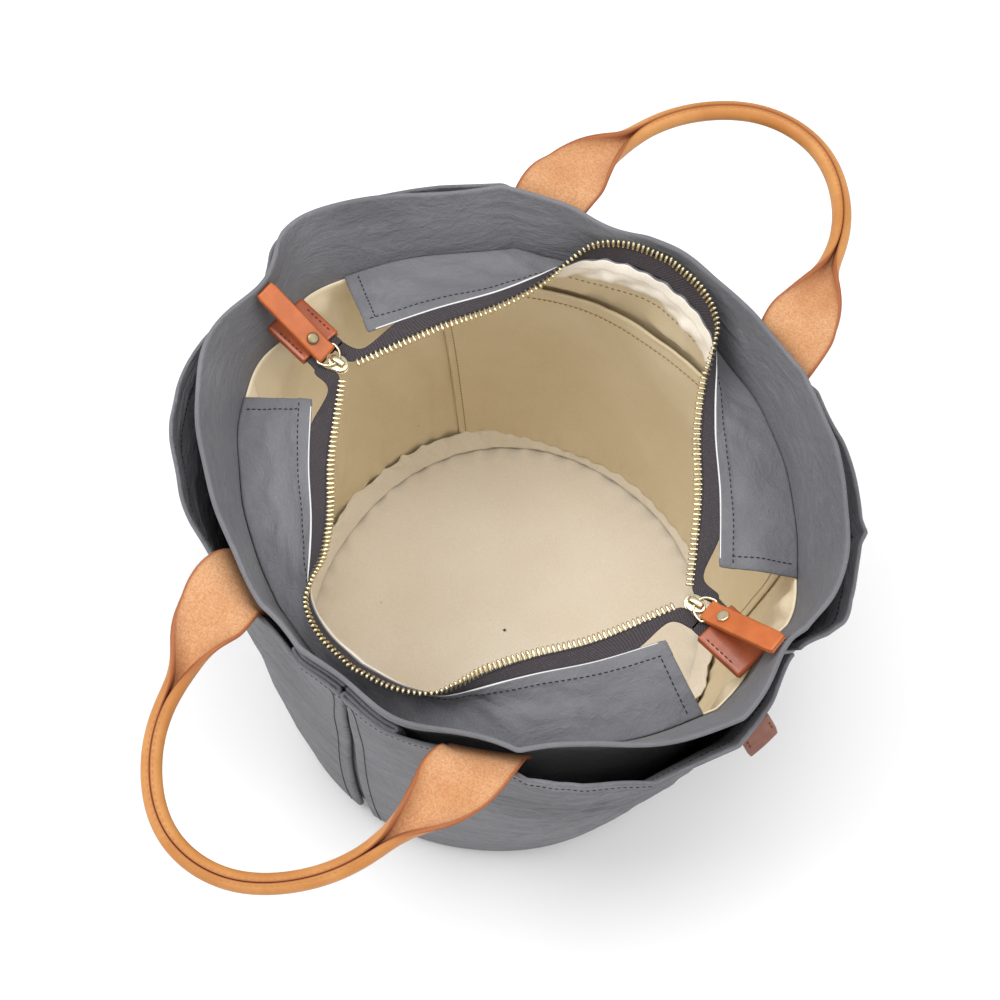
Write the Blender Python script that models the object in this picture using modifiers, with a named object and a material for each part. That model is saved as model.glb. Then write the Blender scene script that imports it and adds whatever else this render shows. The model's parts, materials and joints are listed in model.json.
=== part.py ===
"""A round-based tote bag of grey coated cotton with a cream lining.

It stands open on its flat base. A box pleat parts two outer pockets at the front and two at
the back, a two-way metal zip runs round the mouth on two facings, and two rolled leather
handles have fallen outwards. +X runs along the zip, -Y is the front and +Z is up. The origin
lies on the bottom face, below the centre of the mouth. Lengths are in metres.
"""

import math
from collections import namedtuple

import bmesh
import bpy
from mathutils import Matrix, Vector

# Driving sizes of the bag
BAG_HEIGHT = 0.260
MOUTH_HALF_LENGTH = 0.178
MOUTH_HALF_WIDTH = 0.1445
BASE_HALF_LENGTH = 0.126
BASE_HALF_WIDTH = 0.131
BASE_SHIFT = 0.010  # the base's centre lies this far in front of the mouth's
SIDE_NOTCH = 0.015  # how far the side seams pull the rim in
NOTCH_REACH = 0.026
SEAM_SHIFT = 0.003  # the side seams' place at the rim, behind the middle
BAND_DEPTH = 0.042  # the grey band inside the rim, down to the lining

# Thicknesses of cloth and leather, and the gap kept between pieces
BODY_WALL = 0.0020
BASE_PANEL_THICKNESS = 0.0030
POCKET_WALL = 0.0016
LINING_WALL = 0.0012
FLOOR_THICKNESS = 0.0015
FACING_WALL = 0.0012
TAPE_WALL = 0.0009
LEATHER = 0.0015
SEAT_GAP = 0.0003
LAYER_GAP = 0.0008  # between the folded layers of a pleat

# Outer pockets
POCKET_TOP = 0.241
POCKET_FOOT = 0.006
POCKET_HALF_LENGTH = 0.182  # at the mouth
POCKET_HALF_WIDTH = 0.1515
PLEAT_DEPTH = 0.030
SLIT_TOP = 0.0012  # half the slit between two pockets
SLIT_FOOT = 0.0045
PLEAT_START = 0.0012
SIDE_SEAM_TURN = 1.6  # degrees from the side seam where a pocket is sewn on

# Lining
BINDING_RADIUS = 0.0034
INNER_POCKET_TOP = 0.186
INNER_POCKET_FOOT = 0.014
INNER_POCKET_WALL = 0.0012
INNER_POCKET_TURNS = (27.0, 140.0)  # degrees round the wall, from +X by way of the back

# Zip
FACING_END_TURN_X = 0.148  # where a facing's end meets the wall
ZIP_HALF_LENGTH = 0.112  # from the middle to a slider's centre
ZIP_SHIFT = -0.004
TEETH_WIDTH = 0.0040
TEETH_HEIGHT = 0.0024
TEETH_GAP = 0.0005  # between the teeth and the tape
SLIDER_LENGTH = 0.0120
SLIDER_WIDTH = 0.0092
SLIDER_HEIGHT = 0.0046
BRIDGE_LENGTH = 0.0090
BRIDGE_HEIGHT = 0.0040
BRIDGE_WIDTH = 0.0024
BRIDGE_WIRE = 0.0012
RING_WIRE = 0.0007  # the wire's radius
RING_LENGTH = 0.0090
RING_WIDTH = 0.0132

# Leather pulls and the tabs on the zip's ends
PULL_LENGTH = 0.0445
PULL_WIDTH = 0.0104
PULL_TILT = 32.0  # degrees that a pull leans up against the rim
PULL_YAW = -3.0
RIVET_RADIUS = 0.0032
RIVET_SHANK = 0.0012
RIVET_CAP = 0.0014
RIVET_SETBACK = 0.0095
TAB_LENGTH = 0.028
TAB_WIDTH = 0.0235
TAB_START = 0.0135  # from the slider's centre to the tab's near edge
TAB_YAW = -9.0
TAPE_TAIL = 0.0290  # from the slider's centre to the tape's own end

# Handles
HANDLE_HALF_SPAN = 0.072
FLAT_WIDTH = 0.038
FLAT_THICKNESS = 0.0024
ROLL_DIAMETER = 0.0104
ROLL_SLIT = 0.0005
ROLL_CORE = 0.0009  # the radius left open in the middle of the roll
SEWN_DEPTH = 0.026  # how far a flat end runs down inside the pocket
BEND_RADIUS = 0.0095
HANDLE_LEVEL = 0.2520

# Side tag
TAG_WIDTH = 0.018
TAG_LENGTH = 0.011
TAG_THICKNESS = 0.0018
TAG_HEIGHT = 0.231
TAG_TURN = -14.0
TAG_DROOP = 42.0

# How finely the shapes are cut
AROUND = 52
POCKET_STEPS = 17
FACING_STEPS = 16
ROLL_POINTS = 7
WALL_LEVELS = (0.23, 0.45, 0.68)  # shares of the height where the walls have a row

# The outline at each height: how far length and width have grown from the base's to the
# mouth's, how square the outline is, and how much of the side notch shows.
Level = namedtuple("Level", "height length width bow notch")
BODY_LEVELS = (
    Level(0.00, 0.00, 0.00, 2.15, 0.00),
    Level(0.20, 0.17, 0.35, 2.12, 0.00),
    Level(0.45, 0.36, 0.55, 2.05, 0.00),
    Level(0.70, 0.55, 0.50, 1.96, 0.05),
    Level(0.84, 0.68, 0.50, 1.76, 0.15),
    Level(1.00, 1.00, 1.00, 1.85, 1.00),
)
POCKET_LEVELS = (
    Level(0.00, 0.00, 0.00, 2.15, 0.00),
    Level(0.23, 0.22, 0.32, 2.15, 0.00),
    Level(0.45, 0.42, 0.50, 2.15, 0.00),
    Level(0.68, 0.64, 0.68, 2.12, 0.05),
    Level(0.84, 0.82, 0.84, 2.10, 0.20),
    Level(0.93, 1.00, 1.00, 2.10, 0.80),
)

# How much of a pocket's own roundness shows, on the way from the slit (0) to the side seam
# (1), where it is sewn to the body, and how far its sewn edge stands off at the mouth.
Fullness = namedtuple("Fullness", "along share edge")
POCKET_FULLNESS = (
    Fullness(0.00, 0.00, 0.0),
    Fullness(0.16, 0.10, 0.0),
    Fullness(0.34, 0.70, 0.0),
    Fullness(0.50, 1.00, 0.0),
    Fullness(0.90, 1.00, 0.3),
    Fullness(0.96, 0.65, 0.8),
    Fullness(1.00, 0.00, 1.0),
)
SEAM_STANDOFF = 0.006

# Half of one facing, from the middle of the bag to its end: where it joins the wall, where
# its free edge runs, how far it bellies in, and where the teeth run. Lengths are shares of
# the mouth's half length or half width, and heights are shares of the bag's.
Facing = namedtuple("Facing", "wall edge_x edge_y edge_z belly teeth_x teeth_y teeth_z")
FACING_ROWS = (
    Facing(0.00, 0.000, 0.893, 0.940, 0.0070, 0.000, 0.938, 0.988),
    Facing(0.15, 0.124, 0.872, 0.938, 0.0070, 0.122, 0.912, 0.985),
    Facing(0.30, 0.222, 0.816, 0.932, 0.0060, 0.214, 0.846, 0.976),
    Facing(0.42, 0.275, 0.742, 0.924, 0.0050, 0.252, 0.756, 0.960),
    Facing(0.55, 0.320, 0.664, 0.914, 0.0030, 0.280, 0.650, 0.936),
    Facing(0.70, 0.394, 0.540, 0.902, 0.0020, 0.350, 0.498, 0.912),
    Facing(0.85, 0.506, 0.374, 0.894, 0.0010, 0.462, 0.310, 0.896),
    Facing(1.00, 0.622, 0.170, 0.890, 0.0000, 0.592, 0.031, 0.890),
)

# Half of a handle, from its root at the pocket to its middle: sideways as a share of the
# half span, outwards as a share of the reach, and how far the strip has curled into a roll.
HandleRow = namedtuple("HandleRow", "side reach curl")
HANDLE_ROWS = (
    HandleRow(1.000, 0.160, 0.00),
    HandleRow(1.000, 0.220, 0.06),
    HandleRow(0.985, 0.290, 0.20),
    HandleRow(0.950, 0.370, 0.52),
    HandleRow(0.915, 0.440, 0.86),
    HandleRow(0.885, 0.510, 1.00),
    HandleRow(0.840, 0.610, 1.00),
    HandleRow(0.750, 0.720, 1.00),
    HandleRow(0.620, 0.820, 1.00),
    HandleRow(0.450, 0.910, 1.00),
    HandleRow(0.240, 0.975, 1.00),
    HandleRow(0.000, 1.000, 1.00),
)

# How each handle has fallen: its reach, its droop below level in degrees and its sideways lean
Fall = namedtuple("Fall", "side reach droop lean")
HANDLE_FALLS = {
    "handle_front": Fall(-1, 0.126, 5.0, -0.008),
    "handle_back": Fall(1, 0.131, 9.0, 0.002),
}

# Colours (red, green, blue), roughness and how metallic each finish is
Finish = namedtuple("Finish", "colour roughness metallic")
FINISHES = {
    "grey_cotton": Finish((0.150, 0.155, 0.165), 0.80, 0.0),
    "cream_cotton": Finish((0.700, 0.640, 0.500), 0.85, 0.0),
    "zip_tape": Finish((0.060, 0.050, 0.052), 0.85, 0.0),
    "brass": Finish((0.800, 0.680, 0.400), 0.28, 1.0),
    "tan_leather": Finish((0.560, 0.300, 0.120), 0.60, 0.0),
    "orange_leather": Finish((0.600, 0.200, 0.060), 0.40, 0.0),
    "brown_leather": Finish((0.280, 0.100, 0.060), 0.55, 0.0),
}


def clear_scene():
    for old in list(bpy.data.objects):
        bpy.data.objects.remove(old)


def make_collection(name):
    made = bpy.data.collections.new(name)
    bpy.context.scene.collection.children.link(made)
    return made


def make_material(name, finish):
    material = bpy.data.materials.new(name)
    material.use_nodes = True
    shader = material.node_tree.nodes["Principled BSDF"]
    shader.inputs["Base Color"].default_value = (*finish.colour, 1.0)
    shader.inputs["Roughness"].default_value = finish.roughness
    shader.inputs["Metallic"].default_value = finish.metallic
    return material


def blended(rows, key, column, at):
    """A column of a table at any value of its key, on a smooth curve through the rows."""
    keys = [getattr(row, key) for row in rows]
    values = [getattr(row, column) for row in rows]
    at = min(max(at, keys[0]), keys[-1])
    i = max(k for k in range(len(keys) - 1) if keys[k] <= at)
    span = keys[i + 1] - keys[i]
    share = (at - keys[i]) / span

    def slope(k):
        low, high = max(k - 1, 0), min(k + 1, len(keys) - 1)
        return (values[high] - values[low]) / (keys[high] - keys[low])

    cube, square = share**3, share**2
    return (
        (2 * cube - 3 * square + 1) * values[i]
        + (cube - 2 * square + share) * span * slope(i)
        + (3 * square - 2 * cube) * values[i + 1]
        + (cube - square) * span * slope(i + 1)
    )


def between(low, high, share):
    return low + (high - low) * share


def superellipse(turn, z, levels, foot, mouth):
    """A point of an outline that grows from its foot's half sizes to its mouth's."""
    share = z / BAG_HEIGHT
    long = between(foot[0], mouth[0], blended(levels, "height", "length", share))
    wide = between(foot[1], mouth[1], blended(levels, "height", "width", share))
    bow = blended(levels, "height", "bow", share)
    c, s = math.cos(math.radians(turn)), math.sin(math.radians(turn))
    x = math.copysign(long * abs(c) ** (2 / bow), c)
    y = math.copysign(wide * abs(s) ** (2 / bow), s)
    notch = SIDE_NOTCH * blended(levels, "height", "notch", share)
    x -= math.copysign(notch * math.exp(-((y / NOTCH_REACH) ** 2)), c)
    shift = SEAM_SHIFT * share**3 * math.exp(-((y / (2 * NOTCH_REACH)) ** 2))
    return Vector((x, y + shift - BASE_SHIFT * (1 - share), z))


def outline(turn, z):
    """A point of the body's outer outline, turn degrees round from the +X side seam."""
    foot, mouth = (BASE_HALF_LENGTH, BASE_HALF_WIDTH), (MOUTH_HALF_LENGTH, MOUTH_HALF_WIDTH)
    return superellipse(turn, z, BODY_LEVELS, foot, mouth)


def pocket_outline(turn, z):
    """A point in the middle of a full pocket's outer layer."""
    seat = SEAT_GAP + POCKET_WALL
    foot = (BASE_HALF_LENGTH + seat, BASE_HALF_WIDTH + seat)
    return superellipse(turn, z, POCKET_LEVELS, foot, (POCKET_HALF_LENGTH, POCKET_HALF_WIDTH))


def outward(turn, z):
    """The outline's level outward direction there."""
    step = 0.6
    along = outline(turn + step, z) - outline(turn - step, z)
    return Vector((along.y, -along.x, 0)).normalized()


def skin(turn, z, out=0.0):
    """A point that stands out from the body's outer surface, or inside it if out is negative."""
    return outline(turn, z) + outward(turn, z) * out


def turn_at(x, z):
    """The turn from the +X side seam to where the back wall has this x, found by halving."""
    low, high = 0.0, 90.0
    for _ in range(30):
        middle = (low + high) / 2
        if outline(middle, z).x > abs(x):
            low = middle
        else:
            high = middle
    return low if x >= 0 else 180 - low


def quarter_turn(turn, side_x, side_y):
    """The same place in another quarter of the bag."""
    turn = turn if side_x > 0 else 180 - turn
    return turn if side_y > 0 else -turn


def add_mesh(name, points, faces, material, group):
    mesh = bpy.data.meshes.new(name)
    mesh.from_pydata([tuple(p) for p in points], [], faces)
    mesh.validate()
    shape = bmesh.new()
    shape.from_mesh(mesh)
    bmesh.ops.recalc_face_normals(shape, faces=shape.faces)
    if shape.calc_volume(signed=True) < 0:
        bmesh.ops.reverse_faces(shape, faces=shape.faces)
    shape.to_mesh(mesh)
    shape.free()
    made = bpy.data.objects.new(name, mesh)
    made.data.materials.append(material)
    group.objects.link(made)
    return made


def grid_faces(rows, columns, wraps):
    """Quads over a grid of points; wraps joins each row's last point to its first."""
    last = columns if wraps else columns - 1
    faces = []
    for r in range(rows - 1):
        for c in range(last):
            d = (c + 1) % columns
            faces.append((r * columns + c, r * columns + d, (r + 1) * columns + d, (r + 1) * columns + c))
    return faces


def cloth(name, rows, thickness, material, group, wraps=False):
    """A sheet of even thickness, half of it on each side of a grid of points."""
    points = [p for row in rows for p in row]
    made = add_mesh(name, points, grid_faces(len(rows), len(rows[0]), wraps), material, group)
    wall = made.modifiers.new("Wall", "SOLIDIFY")
    wall.thickness = thickness
    wall.offset = 0.0
    made.data.shade_smooth()
    return made


def lofted(name, sections, material, group, closed=False):
    """A solid through closed sections with equal numbers of points."""
    count = len(sections[0])
    points = [p for section in sections for p in section]
    faces = grid_faces(len(sections), count, True)
    if closed:
        last = (len(sections) - 1) * count
        faces += [(last + c, last + (c + 1) % count, (c + 1) % count, c) for c in range(count)]
    else:
        faces.append(tuple(range(count)))
        faces.append(tuple((len(sections) - 1) * count + c for c in range(count)))
    return add_mesh(name, points, faces, material, group)


def plate(name, outline_points, bottom, thickness, bevel, material, group):
    """A flat piece cut to an outline, from a filled curve with an extrusion."""
    curve = bpy.data.curves.new(name, "CURVE")
    curve.dimensions = "2D"
    curve.fill_mode = "BOTH"
    curve.extrude = thickness / 2 - bevel
    curve.bevel_depth = bevel
    curve.bevel_resolution = 0
    curve.offset = -bevel
    spline = curve.splines.new("POLY")
    spline.points.add(len(outline_points) - 1)
    for point, place in zip(spline.points, outline_points):
        point.co = (place.x, place.y, 0.0, 1.0)
    spline.use_cyclic_u = True
    made = bpy.data.objects.new(name, curve)
    made.location.z = bottom + thickness / 2
    made.data.materials.append(material)
    group.objects.link(made)
    return made


def full_turns(count):
    return [360.0 * k / count for k in range(count)]


def wall_heights():
    return [share * BAG_HEIGHT for share in WALL_LEVELS] + [BAG_HEIGHT - BAND_DEPTH]


# Body, base and lining


def turn_beside_seam(z):
    """The small turn from a side seam to the edge of a body panel, found by halving."""
    low, high = 0.0, 5.0
    for _ in range(30):
        middle = (low + high) / 2
        if outline(middle, z).y - outline(0.0, z).y > SEAT_GAP / 2:
            high = middle
        else:
            low = middle
    return high


def build_body(group, materials):
    """A front and a back panel that meet at the side seams."""
    foot = BASE_PANEL_THICKNESS + SEAT_GAP
    inner_turns = full_turns(AROUND)[1 : AROUND // 2]
    for name, side_y in (("body_front", -1), ("body_back", 1)):
        rows = []
        for z in [foot] + wall_heights() + [POCKET_TOP, BAG_HEIGHT]:
            start = turn_beside_seam(z)
            turns = sorted(side_y * turn for turn in [start, 180 - start] + inner_turns)
            rows.append([skin(turn, z, -BODY_WALL / 2) for turn in turns])
        cloth(name, rows, BODY_WALL, materials["grey_cotton"], group)
    edge = [skin(turn, 0.0) for turn in full_turns(AROUND)]
    bevel = BASE_PANEL_THICKNESS / 4
    plate("base_panel", edge, 0.0, BASE_PANEL_THICKNESS, bevel, materials["grey_cotton"], group)


def build_lining(group, materials):
    inset = BODY_WALL + SEAT_GAP + LINING_WALL / 2
    foot = BASE_PANEL_THICKNESS + SEAT_GAP
    top = BAG_HEIGHT - BAND_DEPTH - SEAT_GAP
    heights = [foot] + wall_heights()[:-1] + [top]
    rows = [[skin(turn, z, -inset) for turn in full_turns(AROUND)] for z in heights]
    cream = materials["cream_cotton"]
    cloth("lining_wall", rows, LINING_WALL, cream, group, wraps=True)
    floor_inset = inset + LINING_WALL / 2 + SEAT_GAP
    edge = [skin(turn, foot, -floor_inset) for turn in full_turns(AROUND)]
    plate("lining_floor", edge, foot, FLOOR_THICKNESS, FLOOR_THICKNESS / 5, cream, group)
    build_binding(floor_inset, foot + FLOOR_THICKNESS + SEAT_GAP, cream, group)


def build_binding(inset, floor_top, cream, group):
    """The bound seam that stands up round the floor."""
    curve = bpy.data.curves.new("floor_binding", "CURVE")
    curve.dimensions = "3D"
    curve.bevel_depth = BINDING_RADIUS
    curve.bevel_resolution = 0
    spline = curve.splines.new("POLY")
    turns = full_turns(AROUND)
    spline.points.add(len(turns) - 1)
    middle = floor_top + BINDING_RADIUS
    for point, turn in zip(spline.points, turns):
        place = skin(turn, middle, -inset - BINDING_RADIUS)
        point.co = (*place, 1.0)
    spline.use_cyclic_u = True
    made = bpy.data.objects.new("floor_binding", curve)
    made.data.materials.append(cream)
    group.objects.link(made)


def build_inner_pocket(group, materials):
    """A cream panel sewn to the lining at its foot and ends, open along its top."""
    seat = BODY_WALL + LINING_WALL + 3 * SEAT_GAP + INNER_POCKET_WALL / 2
    steps = 16
    rows = []
    for z in [INNER_POCKET_FOOT] + wall_heights()[:-1] + [INNER_POCKET_TOP]:
        share = (z - INNER_POCKET_FOOT) / (INNER_POCKET_TOP - INNER_POCKET_FOOT)
        row = []
        for k in range(steps + 1):
            turn = between(*INNER_POCKET_TURNS, k / steps)
            sag = math.sin(math.pi * k / steps) ** 0.7
            stand = between(2.2 * BINDING_RADIUS, 6 * INNER_POCKET_WALL, share) * sag
            row.append(skin(turn, z, -seat - stand))
        rows.append(row)
    cloth("inner_pocket", rows, INNER_POCKET_WALL, materials["cream_cotton"], group)


# Outer pockets


def pocket_place(along, turn, z, near):
    """A point of a pocket's outer layer: near the body at its ends, full in between."""
    rise = (z - POCKET_FOOT) / (POCKET_TOP - POCKET_FOOT)
    seam = SEAM_STANDOFF * blended(POCKET_FULLNESS, "along", "edge", along) * rise**3
    seat = SEAT_GAP + POCKET_WALL / 2
    close = skin(turn, z, seam + between(near, seat, min(1.0, 2 * along)))
    share = min(max(blended(POCKET_FULLNESS, "along", "share", along), 0.0), 1.0)
    return close.lerp(pocket_outline(turn, z), share)


def pocket_row(side_x, side_y, z):
    """One level line of a pocket: in along the pleat, out again, then round to the side."""
    rise = (z - POCKET_FOOT) / (POCKET_TOP - POCKET_FOOT)
    slit = between(SLIT_FOOT, SLIT_TOP, rise)
    pitch = POCKET_WALL + LAYER_GAP
    first = SEAT_GAP + POCKET_WALL / 2
    inner = first + pitch
    outer = inner + pitch
    turn_back = pitch / 2
    pleat = [(between(PLEAT_START, PLEAT_DEPTH, s), first) for s in (0.0, 0.33, 0.67, 1.0)]
    pleat.append((PLEAT_DEPTH + turn_back, (first + inner) / 2))
    slit_edge = slit + turn_back
    pleat += [(between(PLEAT_DEPTH, slit_edge, s), inner) for s in (0.0, 0.33, 0.67, 1.0)]
    pleat.append((slit, (inner + outer) / 2))
    row = []
    for x, out in pleat:
        row.append(skin(quarter_turn(turn_at(x, z), side_x, side_y), z, out))
    start = turn_at(slit_edge, z)
    for k in range(POCKET_STEPS + 1):
        along = (k / POCKET_STEPS) ** 0.85
        turn = quarter_turn(between(start, SIDE_SEAM_TURN, along), side_x, side_y)
        row.append(pocket_place(along, turn, z, outer))
    return row


def build_pockets(group, materials):
    for front_or_back, side_y in (("front", -1), ("back", 1)):
        for left_or_right, side_x in (("left", -1), ("right", 1)):
            heights = [POCKET_FOOT] + wall_heights() + [POCKET_TOP]
            rows = [pocket_row(side_x, side_y, z) for z in heights]
            name = f"pocket_{front_or_back}_{left_or_right}"
            cloth(name, rows, POCKET_WALL, materials["grey_cotton"], group)


# Facings, tapes and teeth


def facing_value(column, along):
    return blended(FACING_ROWS, "wall", column, abs(along))


def zip_line(column, along, side_y):
    """The free edge of a facing ("edge") or the line of the teeth ("teeth") at -1 to 1."""
    x = math.copysign(facing_value(column + "_x", along), along) * MOUTH_HALF_LENGTH
    y = side_y * facing_value(column + "_y", along) * MOUTH_HALF_WIDTH
    shift = ZIP_SHIFT * along**2
    return Vector((x, y + shift, facing_value(column + "_z", along) * BAG_HEIGHT))


def facing_column(along, side_y):
    """Points across a facing, from the wall to its free edge."""
    level = BAG_HEIGHT - BAND_DEPTH + FACING_WALL
    inset = BODY_WALL + SEAT_GAP + FACING_WALL / 2
    turn = turn_at(abs(along) * FACING_END_TURN_X, level)
    side_x = 1 if along >= 0 else -1
    root = skin(quarter_turn(turn, side_x, side_y), level, -inset)
    edge = zip_line("edge", along, side_y)
    belly = facing_value("belly", along)
    into = -outward(quarter_turn(turn, side_x, side_y), level)
    column = []
    for share in (0.0, 0.33, 0.67, 1.0):
        sag = math.sin(math.pi * share)
        column.append(root.lerp(edge, share) + into * (belly * sag) - Vector((0, 0, belly * 0.3 * sag)))
    return column


def steps_across(count):
    return [2.0 * k / count - 1.0 for k in range(count + 1)]


def build_facings(group, materials):
    for name, side_y in (("facing_front", -1), ("facing_back", 1)):
        columns = [facing_column(along, side_y) for along in steps_across(2 * FACING_STEPS)]
        cloth(name, columns, FACING_WALL, materials["grey_cotton"], group)


def end_frame(side_x):
    """The place and turn of a zip end: its own +X points outwards along the zip."""
    place = zip_line("teeth", float(side_x), 1)
    place.x = side_x * ZIP_HALF_LENGTH
    place.y = ZIP_SHIFT
    facing = Matrix.Identity(4) if side_x > 0 else Matrix.Rotation(math.pi, 4, "Z")
    return Matrix.Translation(place) @ facing


def tab_place(side_x):
    return end_frame(side_x) @ Matrix.Rotation(math.radians(TAB_YAW), 4, "Z")


def tape_tail(side_x, side_y):
    """The tape's two edges past the slider, from the facing's end to inside the tab."""
    clear = SLIDER_WIDTH / 2 + SEAT_GAP + TAPE_WALL
    middle = SEAT_GAP + TAPE_WALL
    outer = TAB_WIDTH / 2 - LEATHER
    frame, tab_frame = end_frame(side_x), tab_place(side_x)
    across = side_y * side_x
    rows = (
        (frame, -SLIDER_LENGTH * 0.42, clear, outer + 5 * TAPE_WALL),
        (frame, SLIDER_LENGTH * 0.50, clear, outer + TAPE_WALL),
        (tab_frame, SLIDER_LENGTH * 0.70, middle, outer),
        (tab_frame, TAPE_TAIL, middle, outer),
    )
    return [
        [place @ Vector((x, across * outside, 0)), place @ Vector((x, across * inside, 0))]
        for place, x, inside, outside in rows
    ]


def build_tapes_and_teeth(group, materials):
    for name, side_y in (("front", -1), ("back", 1)):
        columns = []
        line = []
        for along in steps_across(2 * FACING_STEPS):
            edge, teeth = zip_line("edge", along, side_y), zip_line("teeth", along, side_y)
            across = (teeth - edge).normalized()
            columns.append([
                edge + across * (FACING_WALL / 2 + SEAT_GAP),
                teeth - across * (TEETH_WIDTH / 2 + TEETH_GAP),
            ])
            line.append((teeth, across))
        tails = [tape_tail(-1, side_y)[::-1], tape_tail(1, side_y)]
        cloth(
            f"zip_tape_{name}",
            tails[0] + columns[1:-1] + tails[1],
            TAPE_WALL,
            materials["zip_tape"],
            group,
        )
        build_teeth(f"zip_teeth_{name}", line, materials["brass"], group)


def build_teeth(name, line, brass, group):
    """A row of teeth as one plain bar along the tape's edge."""
    sections = []
    for k, (place, across) in enumerate(line):
        ahead = line[min(k + 1, len(line) - 1)][0] - line[max(k - 1, 0)][0]
        up = across.cross(ahead).normalized()
        if up.z < 0:
            up.negate()
        half_width = across * (TEETH_WIDTH / 2)
        half_height = up * (TEETH_HEIGHT / 2)
        sections.append([
            place - half_width - half_height,
            place + half_width - half_height,
            place + half_width + half_height,
            place - half_width + half_height,
        ])
    lofted(name, sections, brass, group)


# Sliders, rings, pulls and tabs


def evaluated_copy(source, name):
    """The finished mesh of a curve or a modified object, as a new object in its place."""
    bpy.context.view_layer.update()
    graph = bpy.context.evaluated_depsgraph_get()
    mesh = bpy.data.meshes.new_from_object(source.evaluated_get(graph))
    shape = bmesh.new()
    shape.from_mesh(mesh)
    bmesh.ops.remove_doubles(shape, verts=shape.verts, dist=1e-6)
    shape.to_mesh(mesh)
    shape.free()
    made = bpy.data.objects.new(name, mesh)
    made.matrix_world = source.matrix_world
    return made


def box(name, low, high, group):
    """A plain block between two corners."""
    bpy.ops.mesh.primitive_cube_add(size=1.0)
    made = bpy.context.object
    made.name = name
    low, high = Vector(low), Vector(high)
    centre, size = (low + high) / 2, high - low
    made.data.transform(Matrix.Translation(centre) @ Matrix.Diagonal((*size, 1.0)))
    for other in made.users_collection:
        other.objects.unlink(made)
    group.objects.link(made)
    return made


def combine(target, other, operation):
    joined = target.modifiers.new(operation.title(), "BOOLEAN")
    joined.operation = operation
    joined.object = other


def hide_helper(helper):
    helper.hide_render = True
    helper.display_type = "WIRE"


def build_slider(name, frame, group, helpers, brass):
    """A slider's rounded body with a bridge on top for the ring."""
    half_length, half_width = SLIDER_LENGTH / 2, SLIDER_WIDTH / 2
    edge = []
    for turn in full_turns(16):
        c, s = math.cos(math.radians(turn)), math.sin(math.radians(turn))
        narrow = between(1.0, 0.72, 0.5 + 0.5 * c)
        edge.append(Vector((half_length * c, half_width * s * narrow, 0)))
    shaped = plate(name + "_plate", edge, -SLIDER_HEIGHT / 2, SLIDER_HEIGHT, 0.0004, brass, helpers)
    body = evaluated_copy(shaped, name)
    bpy.data.objects.remove(shaped)
    body.data.materials.clear()
    body.data.materials.append(brass)
    group.objects.link(body)
    top = SLIDER_HEIGHT / 2
    half_bridge = BRIDGE_LENGTH / 2
    sunk = top - BRIDGE_WIRE / 2
    arch = box(
        name + "_arch",
        (-half_bridge, -BRIDGE_WIDTH / 2, sunk),
        (half_bridge, BRIDGE_WIDTH / 2, top + BRIDGE_HEIGHT),
        helpers,
    )
    eye = box(
        name + "_eye",
        (-half_bridge + BRIDGE_WIRE, -BRIDGE_WIDTH, top),
        (half_bridge - BRIDGE_WIRE, BRIDGE_WIDTH, top + BRIDGE_HEIGHT - BRIDGE_WIRE),
        helpers,
    )
    combine(arch, eye, "DIFFERENCE")
    combine(body, arch, "UNION")
    for helper in (arch, eye):
        hide_helper(helper)
    for piece in (body, arch, eye):
        piece.matrix_world = frame
    return body


def ring_height():
    """The ring's middle above the slider's middle, where it hangs in the bridge."""
    return SLIDER_HEIGHT / 2 + (BRIDGE_HEIGHT - BRIDGE_WIRE) / 2


def build_ring(name, frame, group, brass):
    """A wire ring through the bridge and the pull's loop: a bow closed by a straight bar."""
    curve = bpy.data.curves.new(name, "CURVE")
    curve.dimensions = "3D"
    curve.bevel_depth = RING_WIRE
    curve.bevel_resolution = 1
    places = [Vector((RING_LENGTH, s * RING_WIDTH / 2, 0)) for s in (-1, -0.5, 0, 0.5, 1)]
    for turn in (22, 45, 68, 90, 112, 135, 158):
        a = math.radians(turn)
        places.append(Vector((RING_LENGTH * 0.8 * (1 - math.sin(a)), math.cos(a) * RING_WIDTH / 2, 0)))
    spline = curve.splines.new("POLY")
    spline.points.add(len(places) - 1)
    for point, place in zip(spline.points, places):
        point.co = (*place, 1.0)
    spline.use_cyclic_u = True
    ring = bpy.data.objects.new(name, curve)
    ring.data.materials.append(brass)
    group.objects.link(ring)
    ring.matrix_world = frame @ Matrix.Translation((0, 0, ring_height()))


def folded_strip(name, outline_points, width, material, group):
    """A leather strip folded double: its side view, extruded across its width."""
    half = Vector((0, width / 2, 0))
    lofted(name, [[p - half for p in outline_points], [p + half for p in outline_points]], material, group)
    return group.objects[name]


def strip_outline(inner_half, thickness, length, eye_radius):
    """The side view of a strip folded round an eye at x = 0, with its ends at x = length."""
    outer_half = inner_half + thickness
    outer_eye = eye_radius + thickness
    neck = eye_radius * 1.6
    points = [Vector((length, 0, outer_half)), Vector((neck, 0, outer_half))]
    arc = [110, 145, 180, 215, 250]
    points += [
        Vector((outer_eye * math.cos(math.radians(a)), 0, outer_eye * math.sin(math.radians(a))))
        for a in arc
    ]
    points += [Vector((neck, 0, -outer_half)), Vector((length, 0, -outer_half))]
    points += [Vector((length, 0, -inner_half)), Vector((neck, 0, -inner_half))]
    points += [
        Vector((eye_radius * math.cos(math.radians(a)), 0, eye_radius * math.sin(math.radians(a))))
        for a in reversed(arc)
    ]
    points += [Vector((neck, 0, inner_half)), Vector((length, 0, inner_half))]
    return points


def cylinder(name, radius, depth, centre, group, sides=12):
    bpy.ops.mesh.primitive_cylinder_add(vertices=sides, radius=radius, depth=depth, location=centre)
    made = bpy.context.object
    made.name = name
    for other in made.users_collection:
        other.objects.unlink(made)
    group.objects.link(made)
    return made


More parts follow.
